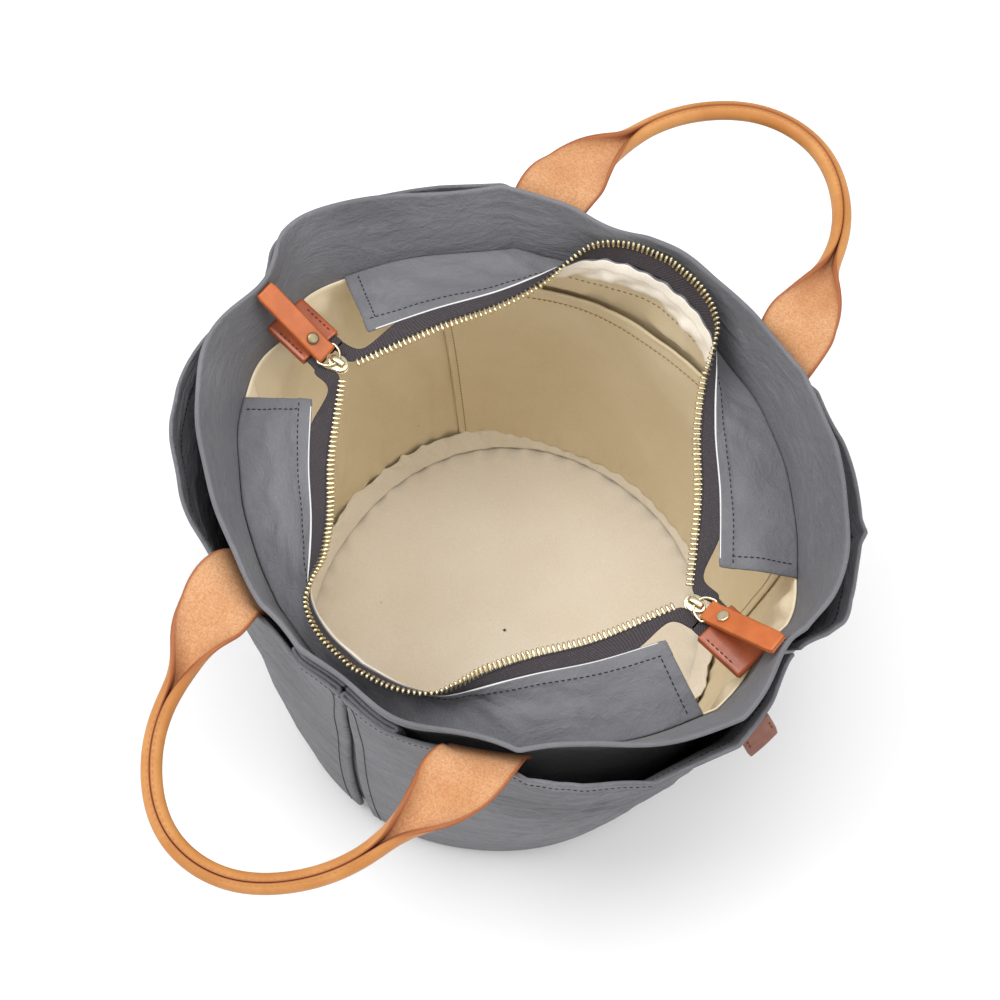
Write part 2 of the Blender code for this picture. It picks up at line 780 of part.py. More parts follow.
def build_pull(side_name, frame, group, helpers, materials):
    """A leather strip folded round the ring and held shut by a rivet."""
    leather, brass = materials["orange_leather"], materials["brass"]
    eye = RING_WIRE + 2 * SEAT_GAP
    tilt = Matrix.Rotation(-math.radians(PULL_TILT), 4, "Y")
    yaw = Matrix.Rotation(math.radians(PULL_YAW), 4, "Z")
    place = frame @ Matrix.Translation((RING_LENGTH, 0, ring_height())) @ yaw @ tilt
    points = strip_outline(SEAT_GAP / 2, LEATHER, PULL_LENGTH, eye)
    strap = folded_strip(f"pull_strap_{side_name}", points, PULL_WIDTH, leather, group)
    strap.matrix_world = place
    drill = cylinder(f"rivet_hole_{side_name}", RIVET_SHANK + SEAT_GAP, 4 * LEATHER, (0, 0, 0), helpers)
    drill.matrix_world = place @ Matrix.Translation((RIVET_SETBACK, 0, 0))
    hide_helper(drill)
    combine(strap, drill, "DIFFERENCE")
    rivet = cylinder(f"pull_rivet_{side_name}", RIVET_SHANK, 2 * LEATHER + 4 * SEAT_GAP, (0, 0, 0), group)
    rivet.data.materials.append(brass)
    face = LEATHER + 1.5 * SEAT_GAP
    for label, sign in (("top", 1), ("under", -1)):
        cap = cylinder(f"rivet_{label}_{side_name}", RIVET_RADIUS, RIVET_CAP, (0, 0, 0), helpers)
        soften = cap.modifiers.new("Soften", "BEVEL")
        soften.width = RIVET_CAP * 0.45
        soften.segments = 1
        cap.matrix_world = place @ Matrix.Translation((RIVET_SETBACK, 0, sign * (face + RIVET_CAP / 2)))
        hide_helper(cap)
        combine(rivet, cap, "UNION")
    rivet.matrix_world = place @ Matrix.Translation((RIVET_SETBACK, 0, 0))


def build_tab(side_name, frame, group, materials):
    """A leather piece folded over the ends of both tapes."""
    slot = TAPE_WALL / 2 + SEAT_GAP
    outer = slot + LEATHER
    near, far = TAB_START, TAB_START + TAB_LENGTH
    fold = far - outer
    points = [Vector((near, 0, outer)), Vector((fold, 0, outer))]
    points += [Vector((fold + outer * 0.7, 0, outer * 0.7)), Vector((far, 0, 0))]
    points += [Vector((fold + outer * 0.7, 0, -outer * 0.7)), Vector((fold, 0, -outer))]
    points += [Vector((near, 0, -outer)), Vector((near, 0, -slot))]
    points += [Vector((fold, 0, -slot)), Vector((fold, 0, slot)), Vector((near, 0, slot))]
    tab = folded_strip(f"end_tab_{side_name}", points, TAB_WIDTH, materials["orange_leather"], group)
    tab.matrix_world = frame


def build_zip_ends(group, helpers, materials):
    for side_name, side_x in (("left", -1), ("right", 1)):
        frame = end_frame(side_x)
        build_slider(f"zip_slider_{side_name}", frame, group, helpers, materials["brass"])
        build_ring(f"slider_ring_{side_name}", frame, group, materials["brass"])
        build_pull(side_name, frame, group, helpers, materials)
        build_tab(side_name, tab_place(side_x), group, materials)


# Handles


def strip_section(curl, place, across, up):
    """The cross section of the handle's strip: flat at curl 0, a closed roll at curl 1."""
    roll_width = math.pi * ROLL_DIAMETER - ROLL_SLIT
    width = between(FLAT_WIDTH, roll_width, min(1.0, curl * 1.15))
    bend = max(curl, 0.02) * (2 * math.pi - ROLL_SLIT / (ROLL_DIAMETER / 2))
    radius = width / bend
    full = max(radius - ROLL_CORE, FLAT_THICKNESS)
    thickness = between(FLAT_THICKNESS, min(full, ROLL_DIAMETER / 2 - ROLL_CORE), curl**3)
    middle = radius * (1 - math.sin(bend / 2) / (bend / 2)) + (1 - curl) * thickness / 2
    outer, inner = [], []
    for k in range(ROLL_POINTS):
        angle = bend * (k / (ROLL_POINTS - 1) - 0.5)
        for ring, r in ((outer, radius), (inner, radius - thickness)):
            sideways = r * math.sin(angle)
            rise = radius - r * math.cos(angle) - middle
            ring.append(place + across * sideways + up * rise)
    return outer + inner[::-1]


def handle_stations(side_y, fall):
    """Places along the right half of a handle, from its sewn end to its middle."""
    pocket_x = HANDLE_HALF_SPAN
    root_z = HANDLE_LEVEL - BEND_RADIUS
    turn = turn_at(pocket_x, root_z)
    seat = 5 * SEAT_GAP + FLAT_THICKNESS / 2
    wall = quarter_turn(turn, 1, side_y)
    out = outward(wall, root_z)
    stations = []
    for share in (0.0, 0.5, 1.0):
        z = root_z - SEWN_DEPTH * (1 - share)
        local = quarter_turn(turn_at(pocket_x, z), 1, side_y)
        stations.append((skin(local, z, seat), 0.0, -outward(local, z)))
    root = stations[-1][0]
    for angle in (25, 50, 75):
        a = math.radians(angle)
        over = out.lerp(Vector((0, side_y, 0)), (angle / 90) ** 3).normalized()
        level = over * (BEND_RADIUS * (1.56 - math.cos(a)))
        place = root + level + Vector((0, 0, BEND_RADIUS * math.sin(a)))
        stations.append((place, 0.0, -over * math.cos(a) + Vector((0, 0, math.sin(a)))))
    slope = math.radians(fall.droop)
    away = Vector((0, side_y * math.cos(slope), -math.sin(slope)))
    up = Vector((0, side_y * math.sin(slope), math.cos(slope)))
    start = Vector((0, root.y, HANDLE_LEVEL))
    for row in HANDLE_ROWS:
        place = start + away * (row.reach * fall.reach)
        place.x = row.side * HANDLE_HALF_SPAN
        stations.append((place, row.curl, up))
    return stations


def build_handle(name, fall, leather, group):
    half = handle_stations(fall.side, fall)
    mirror = [(Vector((-p.x, p.y, p.z)), curl, Vector((-n.x, n.y, n.z))) for p, curl, n in half]
    stations = half + mirror[-2::-1]
    base = abs(half[-len(HANDLE_ROWS)][0].y)
    for place, _, _ in stations:
        place.x += fall.lean * (max(0.0, abs(place.y) - base) / fall.reach) ** 1.5
    sections = []
    for k, (place, curl, normal) in enumerate(stations):
        ahead = stations[min(k + 1, len(stations) - 1)][0] - stations[max(k - 1, 0)][0]
        ahead.normalize()
        across = ahead.cross(normal).normalized()
        up = across.cross(ahead).normalized()
        sections.append(strip_section(curl, place, across, up))
    lofted(name, sections, leather, group)


def build_handles(group, materials):
    for name, fall in HANDLE_FALLS.items():
        build_handle(name, fall, materials["tan_leather"], group)


def build_tag(group, materials):
    """A small leather tag that hangs from the pocket below its rim."""
    start = turn_at(SLIT_TOP, TAG_HEIGHT)
    along = (start + TAG_TURN) / (start - SIDE_SEAM_TURN)
    root = pocket_place(along, TAG_TURN, TAG_HEIGHT, 0.0)
    away = outward(TAG_TURN, TAG_HEIGHT)
    sideways = Vector((-away.y, away.x, 0))
    turn = Matrix((away, sideways, Vector((0, 0, 1)))).transposed().to_4x4()
    droop = Matrix.Rotation(math.radians(TAG_DROOP), 4, "Y")
    near = POCKET_WALL / 2 + SEAT_GAP + TAG_THICKNESS / 2
    tag = box(
        "side_tag",
        (near, -TAG_WIDTH / 2, -TAG_THICKNESS / 2),
        (near + TAG_LENGTH, TAG_WIDTH / 2, TAG_THICKNESS / 2),
        group,
    )
    tag.data.materials.append(materials["brown_leather"])
    tag.matrix_world = Matrix.Translation(root) @ turn @ droop


def main():
    clear_scene()
    group = make_collection("tote_bag")
    helpers = make_collection("cutters")
    materials = {name: make_material(name, finish) for name, finish in FINISHES.items()}
    build_body(group, materials)
    build_lining(group, materials)
    build_inner_pocket(group, materials)
    build_pockets(group, materials)
    build_facings(group, materials)
    build_tapes_and_teeth(group, materials)
    build_zip_ends(group, helpers, materials)
    build_handles(group, materials)
    build_tag(group, materials)


main()
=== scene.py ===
# %% [markdown]
# A round-based tote bag of washed grey cotton stands open on a pale floor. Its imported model
# is loaded as a fixed frame: every piece made here replaces a plain solid of that frame and
# stays where it is. All lengths are in metres.

# %% Load the frame
import json
import math

import bmesh
import bpy
import numpy as np
from mathutils import Matrix, Vector

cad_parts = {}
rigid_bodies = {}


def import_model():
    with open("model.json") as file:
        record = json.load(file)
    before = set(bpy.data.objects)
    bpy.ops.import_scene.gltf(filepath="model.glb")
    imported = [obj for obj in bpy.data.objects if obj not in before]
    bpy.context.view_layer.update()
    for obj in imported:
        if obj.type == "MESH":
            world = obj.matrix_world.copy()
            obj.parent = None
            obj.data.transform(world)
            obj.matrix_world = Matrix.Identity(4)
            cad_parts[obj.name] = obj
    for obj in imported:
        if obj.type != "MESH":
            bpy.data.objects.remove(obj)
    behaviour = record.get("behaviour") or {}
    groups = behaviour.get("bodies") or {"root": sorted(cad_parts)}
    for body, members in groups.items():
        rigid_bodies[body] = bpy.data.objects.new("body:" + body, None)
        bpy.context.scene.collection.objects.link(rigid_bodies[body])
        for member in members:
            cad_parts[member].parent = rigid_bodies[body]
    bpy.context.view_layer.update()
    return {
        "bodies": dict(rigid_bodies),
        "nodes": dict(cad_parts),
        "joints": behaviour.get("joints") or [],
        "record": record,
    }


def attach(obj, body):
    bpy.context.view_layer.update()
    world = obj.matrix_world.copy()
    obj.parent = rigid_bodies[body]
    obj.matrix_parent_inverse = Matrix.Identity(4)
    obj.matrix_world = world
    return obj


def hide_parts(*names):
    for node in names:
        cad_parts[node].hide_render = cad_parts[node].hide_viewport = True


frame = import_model()

# %% [markdown]
# The camera stands in front and well above the bag, turned 36 degrees to its right. Its
# place was found from the ellipses of the mouth and the base. A long lens keeps the round
# shapes calm.

# %% Camera
AZIMUTH, ELEVATION = math.radians(36.1), math.radians(68.3)
AIM, DISTANCE, LENS = Vector((-0.0066, -0.0057, 0.200)), 1.100, 75.8
away = Vector((
    math.sin(AZIMUTH) * math.cos(ELEVATION),
    -math.cos(AZIMUTH) * math.cos(ELEVATION),
    math.sin(ELEVATION),
))
camera_data = bpy.data.cameras.new("camera")
camera_data.sensor_width = 36.0
camera_data.lens = LENS
camera = bpy.data.objects.new("camera", camera_data)
camera.location = AIM + away * DISTANCE
camera.rotation_euler = (-away).to_track_quat("-Z", "Y").to_euler()
bpy.context.scene.collection.objects.link(camera)
bpy.context.scene.camera = camera
print("camera at", [round(v, 3) for v in camera.location])

# %% [markdown]
# A photographer would light this bag with big soft boxes and white walls, so that the cloth
# shows its folds but no hard shadow. Area lights and a pale world do the same.

# %% Light and floor
def soft_box(name, place, aim, size, power):
    """A square area light that faces its aim."""
    data = bpy.data.lights.new(name, "AREA")
    data.size = size
    data.energy = power
    light = bpy.data.objects.new(name, data)
    light.location = place
    light.rotation_euler = (Vector(aim) - Vector(place)).to_track_quat("-Z", "Y").to_euler()
    bpy.context.scene.collection.objects.link(light)


soft_box("key", (-0.70, -0.30, 1.60), (0, 0, 0.15), 1.0, 15.0)
soft_box("fill", (1.10, 0.50, 1.30), (0, 0, 0.15), 1.2, 9.0)
soft_box("front", (0.30, -1.50, 0.90), (0, 0, 0.15), 1.0, 5.0)
soft_box("top", (0.05, 0.15, 1.70), (0, 0, 0.0), 0.55, 7.5)

world = bpy.data.worlds.new("studio")
world.use_nodes = True
world.node_tree.nodes["Background"].inputs["Color"].default_value = (1.0, 1.0, 1.0, 1.0)
world.node_tree.nodes["Background"].inputs["Strength"].default_value = 0.62
bpy.context.scene.world = world
bpy.context.scene.view_settings.view_transform = "Standard"

# %% [markdown]
# Shader maths reads best as plain expressions. One small class holds a node's socket and
# turns +, - and * into Math nodes, and one method adds any other node.

# %% Shader expressions
class Socket:
    """A node's output that can be used in an expression."""

    def __init__(self, tree, socket):
        self.tree = tree
        self.socket = socket

    def node(self, kind, settings, values, output=0):
        made = self.tree.nodes.new(kind)
        for key, value in settings.items():
            if key == "stops":
                ramp = made.color_ramp
                while len(ramp.elements) < len(value):
                    ramp.elements.new(0.5)
                for element, (place, colour) in zip(ramp.elements, value):
                    element.position = place
                    element.color = colour if len(colour) == 4 else (*colour, 1.0)
            else:
                setattr(made, key, value)
        for key, value in values.items():
            if isinstance(value, Socket):
                self.tree.links.new(value.socket, made.inputs[key])
            else:
                made.inputs[key].default_value = value
        return Socket(self.tree, made.outputs[output])

    def math(self, operation, a, b):
        return self.node("ShaderNodeMath", {"operation": operation}, {0: a, 1: b})

    def __add__(self, other):
        return self.math("ADD", self, other)

    __radd__ = __add__

    def __mul__(self, other):
        return self.math("MULTIPLY", self, other)

    __rmul__ = __mul__

    def __sub__(self, other):
        return self.math("SUBTRACT", self, other)

    def __rsub__(self, other):
        return self.math("SUBTRACT", other, self)

    def above(self, low, high):
        """0 below low, 1 above high and a smooth step between them."""
        return self.node(
            "ShaderNodeMapRange",
            {"interpolation_type": "SMOOTHSTEP"},
            {"Value": self, "From Min": low, "From Max": high},
        )

    def mixed(self, first, second):
        """The first colour where this is 0 and the second where it is 1."""
        return self.node(
            "ShaderNodeMix", {"data_type": "RGBA"}, {0: self, 6: first, 7: second}, output=2
        )

    def noise(self, scale, detail=4.0, roughness=0.6, distortion=0.0, kind="FBM"):
        settings = {"noise_type": kind} if kind != "FBM" else {}
        values = {"Vector": self, "Scale": scale, "Detail": detail}
        values |= {"Roughness": roughness, "Distortion": distortion}
        return self.node("ShaderNodeTexNoise", settings, values)

    def voronoi(self, scale, feature="F1"):
        values = {"Vector": self, "Scale": scale}
        return self.node("ShaderNodeTexVoronoi", {"feature": feature}, values)

    def stretched(self, x, y, z, turn=(0.0, 0.0, 0.0)):
        values = {"Vector": self, "Scale": (x, y, z), "Rotation": turn}
        return self.node("ShaderNodeMapping", {}, values)

    def bump(self, strength, distance, below=None):
        values = {"Height": self, "Strength": strength, "Distance": distance}
        if below:
            values["Normal"] = below
        return self.node("ShaderNodeBump", {}, values)


class Finish:
    """A Principled material whose sockets are set by name."""

    def __init__(self, name, **constants):
        self.material = bpy.data.materials.new(name)
        self.material.use_nodes = True
        self.tree = self.material.node_tree
        self.shader = self.tree.nodes["Principled BSDF"]
        for key, value in constants.items():
            self.shader.inputs[key.replace("_", " ")].default_value = value
        coordinates = self.tree.nodes.new("ShaderNodeTexCoord")
        self.place = Socket(self.tree, coordinates.outputs["Object"])
        self.uv = Socket(self.tree, coordinates.outputs["UV"])

    def attribute(self, name):
        made = self.tree.nodes.new("ShaderNodeAttribute")
        made.attribute_name = name
        return Socket(self.tree, made.outputs["Fac"])

    def connect(self, **links):
        for key, value in links.items():
            self.tree.links.new(value.socket, self.shader.inputs[key.replace("_", " ")])
        return self.material


def rgb(code, gain=1.0):
    """A linear colour from the usual six-digit code."""
    parts = [int(code[k : k + 2], 16) / 255 for k in (0, 2, 4)]
    linear = [p / 12.92 if p < 0.04045 else ((p + 0.055) / 1.055) ** 2.4 for p in parts]
    return (*[gain * p for p in linear], 1.0)


print("grey:", [round(v, 3) for v in rgb("75767b")])

# %% [markdown]
# The outer cloth is washed cotton with a dense plain weave. It shows faint cloudy patches
# and many short creases that run level round the bag. The creases are noise that is squeezed
# in height, and their crests are painted paler as a painted highlight. Thread-fine noise gives the
# matt grain.

# %% Grey cotton
def grey_cotton(name, creases):
    finish = Finish(name, Sheen_Weight=0.10, Sheen_Roughness=0.5, Specular_IOR_Level=0.25)
    place = finish.place
    clouds = place.noise(9.0, 5.0, 0.6)
    level = place.stretched(24.0, 24.0, 62.0).noise(1.0, 5.0, 0.60, 1.6)
    fine = place.stretched(110.0, 110.0, 210.0).noise(1.0, 4.0, 0.65, 0.8)
    threads = place.noise(1500.0, 2.0, 0.5)
    base = clouds.above(0.3, 0.7).mixed(rgb("66666a"), rgb("79797d"))
    # Painted highlight: the crests of the crease noise are mixed towards a paler grey, as if lit.
    painted_crest_highlight = (level * 0.5 + fine * 0.5).above(0.50, 0.75) * 0.40
    colour = painted_crest_highlight.mixed(base, rgb("88898d"))
    dark = (threads.above(0.30, 0.62) * 0.22).mixed(colour, rgb("58595e"))
    height = level * creases + fine * (0.45 * creases) + threads * 0.07
    normal = height.bump(0.85, 0.0030)
    roughness = threads * 0.12 + 0.74
    return finish.connect(Base_Color=dark, Roughness=roughness, Normal=normal)


body_cotton = grey_cotton("body_cotton", 0.75)
crinkled_cotton = grey_cotton("crinkled_cotton", 1.6)
print("grey cotton:", len(body_cotton.node_tree.nodes), "nodes")

# %% [markdown]
# The lining is undyed cotton. It is smoother than the outer cloth and it carries a few tiny
# specks of seed, as undyed cotton does. The wall's copy is darker and more yellow: painted shade.

# %% Cream cotton
def cream_cotton(name, light, shade):
    finish = Finish(name, Sheen_Weight=0.08, Sheen_Roughness=0.6, Specular_IOR_Level=0.2)
    place = finish.place
    clouds = place.noise(12.0, 5.0, 0.6)
    soft = place.noise(38.0, 6.0, 0.62, 0.3)
    threads = place.noise(1300.0, 2.0, 0.5)
    base = clouds.above(0.25, 0.75).mixed(rgb(shade), rgb(light))
    speckled = (threads.above(0.35, 0.65) * 0.14).mixed(base, rgb("b7ab93"))
    seeds = 1.0 - place.voronoi(30.0).above(0.016, 0.024)
    colour = (seeds * 0.5).mixed(speckled, rgb("8a7a5c"))
    normal = (soft * 0.7 + threads * 0.10).bump(0.40, 0.0012)
    return finish.connect(Base_Color=colour, Roughness=threads * 0.1 + 0.8, Normal=normal)


cream = cream_cotton("cream_cotton", "f3ece0", "ebe2d2")
# Painted shade: this copy, for the upright lining wall and the inner pocket, is darker and more
# yellow than the floor's because the wall gets less light.
painted_shade_cream = cream_cotton("cream_painted_shade_cotton", "eadcc0", "dfcfac")
print("cream cotton ready")

# %% [markdown]
# The leather is vegetable tanned. Its grain side is smooth, glossy and darker where it has
# been burnished, and its flesh side is a fine suede. The handles need both, so they read an
# attribute that says how much of each point is suede and how much is cut edge.

# %% Leather
def handle_leather():
    finish = Finish("handle_leather", Specular_IOR_Level=0.4)
    place = finish.place
    suede, edge = finish.attribute("suede"), finish.attribute("edge")
    clouds = place.noise(28.0, 5.0, 0.6)
    nap = place.noise(900.0, 4.0, 0.7)
    pores = place.voronoi(1500.0)
    flesh = clouds.above(0.3, 0.7).mixed(rgb("bf8a5e"), rgb("d0a077"))
    flesh = (nap.above(0.35, 0.7) * 0.60).mixed(flesh, rgb("9c6438"))
    grain = clouds.above(0.3, 0.75).mixed(rgb("b67639"), rgb("cb9052"))
    grain = (pores.above(0.2, 0.7) * 0.12).mixed(grain, rgb("8f5220"))
    colour = suede.mixed(grain, flesh)
    colour = (edge * 0.75).mixed(colour, rgb("8a4420"))
    height = suede * nap * 0.9 + (1.0 - suede) * pores * 0.12 + clouds * 0.2
    roughness = suede * 0.42 + 0.44 + clouds * 0.08
    return finish.connect(Base_Color=colour, Roughness=roughness, Normal=height.bump(0.45, 0.0006))


def smooth_leather(name, light, dark, gloss):
    finish = Finish(name, Specular_IOR_Level=0.5, Coat_Weight=0.12, Coat_Roughness=0.3)
    place = finish.place
    clouds = place.noise(60.0, 4.0, 0.6)
    pores = place.voronoi(1700.0)
    scuffs = place.stretched(70.0, 260.0, 260.0).noise(1.0, 5.0, 0.7)
    colour = clouds.above(0.3, 0.7).mixed(rgb(dark), rgb(light))
    colour = (scuffs.above(0.55, 0.75) * 0.25).mixed(colour, rgb(light, 1.25))
    height = pores * 0.25 + scuffs * 0.25
    return finish.connect(
        Base_Color=colour, Roughness=scuffs * 0.2 + gloss, Normal=height.bump(0.3, 0.0005)
    )


tan_leather = handle_leather()
pull_leather = smooth_leather("pull_leather", "bf652f", "a85522", 0.36)
tab_leather = smooth_leather("tab_leather", "a9552f", "8c4226", 0.22)
tag_leather = smooth_leather("tag_leather", "8a5c4e", "744a3e", 0.50)
print("leather finishes ready")

# %% [markdown]
# The metal is light polished brass with the finest scratches. The tape is a dark twill, so
# its ribs run slantwise: a wave on the tape's own map draws them. The thread is matt.

# %% Brass, tape and thread
def brass_finish(name, colour, gloss):
    finish = Finish(name, Metallic=1.0)
    scratch = finish.place.stretched(300.0, 2600.0, 2600.0).noise(1.0, 3.0, 0.6)
    stain = finish.place.noise(260.0, 3.0, 0.5)
    mixed = stain.above(0.4, 0.7).mixed(rgb(colour), rgb(colour, 0.82))
    return finish.connect(
        Base_Color=mixed, Roughness=scratch * 0.18 + gloss, Normal=scratch.bump(0.12, 0.0002)
    )


def twill_finish():
    finish = Finish("zip_twill", Specular_IOR_Level=0.25)
    ribs = finish.uv.node(
        "ShaderNodeTexWave",
        {"bands_direction": "DIAGONAL"},
        {"Vector": finish.uv, "Scale": 380.0, "Distortion": 1.2, "Detail": 2.0},
        output=1,
    )
    fuzz = finish.place.noise(1100.0, 2.0, 0.5)
    colour = ribs.mixed(rgb("322e31"), rgb("474144"))
    colour = (fuzz.above(0.5, 0.75) * 0.35).mixed(colour, rgb("625c5f"))
    normal = (ribs + fuzz * 0.4).bump(0.6, 0.0003)
    return finish.connect(Base_Color=colour, Roughness=fuzz * 0.1 + 0.8, Normal=normal)


def thread_finish(name, colour):
    finish = Finish(name, Specular_IOR_Level=0.2)
    twist = finish.place.noise(2200.0, 2.0, 0.5)
    mixed = twist.mixed(rgb(colour, 0.8), rgb(colour, 1.15))
    normal = twist.bump(0.3, 0.0002)
    return finish.connect(Base_Color=mixed, Roughness=twist * 0.2 + 0.7, Normal=normal)


brass = brass_finish("light_brass", "ece0bc", 0.16)
old_brass = brass_finish("rivet_brass", "94876a", 0.34)
twill = twill_finish()
dark_thread = thread_finish("dark_thread", "2c2d31")
cream_thread = thread_finish("cream_thread", "a3906a")
brown_thread = thread_finish("brown_thread", "5a3320")
tan_thread = thread_finish("tan_thread", "b98a4e")
white_cloth = thread_finish("white_edge_cloth", "d8d8d6")
print("brass, twill and thread ready")

# %% [markdown]
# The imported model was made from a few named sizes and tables, and the fine cloth here has
# to lie on the same shapes. The same sizes are written down once more, and numpy works out
# whole grids of points from them at a time.

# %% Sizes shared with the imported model
BAG_HEIGHT = 0.260
MOUTH = np.array([0.178, 0.1445])
BASE = np.array([0.126, 0.131])
POCKET_MOUTH = np.array([0.182, 0.1515])
BASE_SHIFT, SIDE_NOTCH, NOTCH_REACH, SEAM_SHIFT = 0.010, 0.015, 0.026, 0.003
BAND_DEPTH = 0.042
BODY_WALL, POCKET_WALL, LINING_WALL, FACING_WALL = 0.0020, 0.0016, 0.0012, 0.0012
TAPE_WALL, LEATHER, SEAT_GAP, LAYER_GAP = 0.0009, 0.0015, 0.0003, 0.0008
POCKET_TOP, POCKET_FOOT, PLEAT_DEPTH = 0.241, 0.006, 0.030
SLIT_TOP, SLIT_FOOT, PLEAT_START, SIDE_SEAM_TURN = 0.0012, 0.0045, 0.0012, 1.6
SEAM_STANDOFF, BINDING_RADIUS = 0.006, 0.0034
FLOOR_THICKNESS, BASE_PANEL_THICKNESS = 0.0015, 0.0030
INNER_POCKET_TOP, INNER_POCKET_FOOT, INNER_POCKET_TURNS = 0.186, 0.014, (27.0, 140.0)


def table_curve(keys, values):
    """A smooth curve through a table's rows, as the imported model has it."""
    keys, values = np.array(keys, float), np.array(values, float)
    rows = np.arange(len(keys))
    low, high = np.maximum(rows - 1, 0), np.minimum(rows + 1, len(keys) - 1)
    slopes = (values[high] - values[low]) / (keys[high] - keys[low])

    def at(place):
        place = np.clip(place, keys[0], keys[-1])
        i = np.clip(np.searchsorted(keys, place, side="right") - 1, 0, len(keys) - 2)
        span = keys[i + 1] - keys[i]
        s = (place - keys[i]) / span
        return (
            (2 * s**3 - 3 * s**2 + 1) * values[i]
            + (s**3 - 2 * s**2 + s) * span * slopes[i]
            + (3 * s**2 - 2 * s**3) * values[i + 1]
            + (s**3 - s**2) * span * slopes[i + 1]
        )

    return at


def table(key, **columns):
    return {name: table_curve(key, values) for name, values in columns.items()}


BODY_LEVELS = table(
    (0.00, 0.20, 0.45, 0.70, 0.84, 1.00),
    length=(0.00, 0.17, 0.36, 0.55, 0.68, 1.00),
    width=(0.00, 0.35, 0.55, 0.50, 0.50, 1.00),
    bow=(2.15, 2.12, 2.05, 1.96, 1.76, 1.85),
    notch=(0.00, 0.00, 0.00, 0.05, 0.15, 1.00),
)
POCKET_LEVELS = table(
    (0.00, 0.23, 0.45, 0.68, 0.84, 0.93),
    length=(0.00, 0.22, 0.42, 0.64, 0.82, 1.00),
    width=(0.00, 0.32, 0.50, 0.68, 0.84, 1.00),
    bow=(2.15, 2.15, 2.15, 2.12, 2.10, 2.10),
    notch=(0.00, 0.00, 0.00, 0.05, 0.20, 0.80),
)
FULLNESS = table(
    (0.00, 0.16, 0.34, 0.50, 0.90, 0.96, 1.00),
    share=(0.00, 0.10, 0.70, 1.00, 1.00, 0.65, 0.00),
    edge=(0.0, 0.0, 0.0, 0.0, 0.3, 0.8, 1.0),
)
FACING = table(
    (0.00, 0.15, 0.30, 0.42, 0.55, 0.70, 0.85, 1.00),
    edge_x=(0.000, 0.124, 0.222, 0.275, 0.320, 0.394, 0.506, 0.622),
    edge_y=(0.893, 0.872, 0.816, 0.742, 0.664, 0.540, 0.374, 0.170),
    edge_z=(0.940, 0.938, 0.932, 0.924, 0.914, 0.902, 0.894, 0.890),
    belly=(0.0070, 0.0070, 0.0060, 0.0050, 0.0030, 0.0020, 0.0010, 0.0000),
    teeth_x=(0.000, 0.122, 0.214, 0.252, 0.280, 0.350, 0.462, 0.592),
    teeth_y=(0.938, 0.912, 0.846, 0.756, 0.650, 0.498, 0.310, 0.031),
    teeth_z=(0.988, 0.985, 0.976, 0.960, 0.936, 0.912, 0.896, 0.890),
)
print("tables:", len(BODY_LEVELS) + len(POCKET_LEVELS) + len(FULLNESS) + len(FACING), "curves")

# %% [markdown]
# Real cloth never follows a formula: it waves, dents and creases. A sum of a few sine waves
# with fixed random directions gives a soft field for that, and one minus its size gives
# sharp ridges like creases. The seeds are fixed, so each run gives the same bag.

# %% Waves and creases
def waves(u, v, seed, size_u, size_v, count=10):
    """A soft random field of about -1 to 1 whose bumps are size_u by size_v."""
    random = np.random.default_rng(seed)
    total = 0.0
    for _ in range(count):
        across, up, phase = random.normal(), random.normal(), random.uniform(0, 2 * np.pi)
        total = total + np.sin(2 * np.pi * (across * u / size_u + up * v / size_v) + phase)
    return total / math.sqrt(count)


def creases(u, v, seed, size_u, size_v, sharp=3.0):
    """Narrow ridges of 0 to 1 that wander through a field."""
    return np.clip(1 - np.abs(waves(u, v, seed, size_u, size_v)), 0, 1) ** sharp


def ramp(value, low, high):
    share = np.clip((value - low) / (high - low), 0, 1)
    return share * share * (3 - 2 * share)


def between(low, high, share):
    return low + (high - low) * share


def unit(vectors):
    return vectors / np.maximum(np.linalg.norm(vectors, axis=-1, keepdims=True), 1e-12)


print("a wave:", round(float(waves(0.1, 0.2, 1, 0.1, 0.1)), 3))

# %% [markdown]
# The body is a lofted shell: a rounded outline at each height that grows from the base to
# the mouth, with the two side seams pulled in at the rim. `skin` gives any point in front
# of or behind its outer surface, so pockets and lining keep their distance everywhere,
# even where a wave moves the cloth.

# %% The body's outline and skin
def superellipse(turn, z, levels, foot, mouth):
    share = z / BAG_HEIGHT
    long = between(foot[0], mouth[0], levels["length"](share))
    wide = between(foot[1], mouth[1], levels["width"](share))
    bow = levels["bow"](share)
    c, s = np.cos(np.radians(turn)), np.sin(np.radians(turn))
    x = np.copysign(long * np.abs(c) ** (2 / bow), c)
    y = np.copysign(wide * np.abs(s) ** (2 / bow), s)
    x = x - np.copysign(SIDE_NOTCH * levels["notch"](share) * np.exp(-((y / NOTCH_REACH) ** 2)), c)
    shift = SEAM_SHIFT * share**3 * np.exp(-((y / (2 * NOTCH_REACH)) ** 2))
    return np.stack([x, y + shift - BASE_SHIFT * (1 - share), z + 0 * x], -1)


def outline(turn, z):
    return superellipse(turn, z, BODY_LEVELS, BASE, MOUTH)


def pocket_outline(turn, z):
    return superellipse(turn, z, POCKET_LEVELS, BASE + SEAT_GAP + POCKET_WALL, POCKET_MOUTH)


def outward(turn, z):
    along = outline(turn + 0.6, z) - outline(turn - 0.6, z)
    return unit(np.stack([along[..., 1], -along[..., 0], 0 * along[..., 0]], -1))


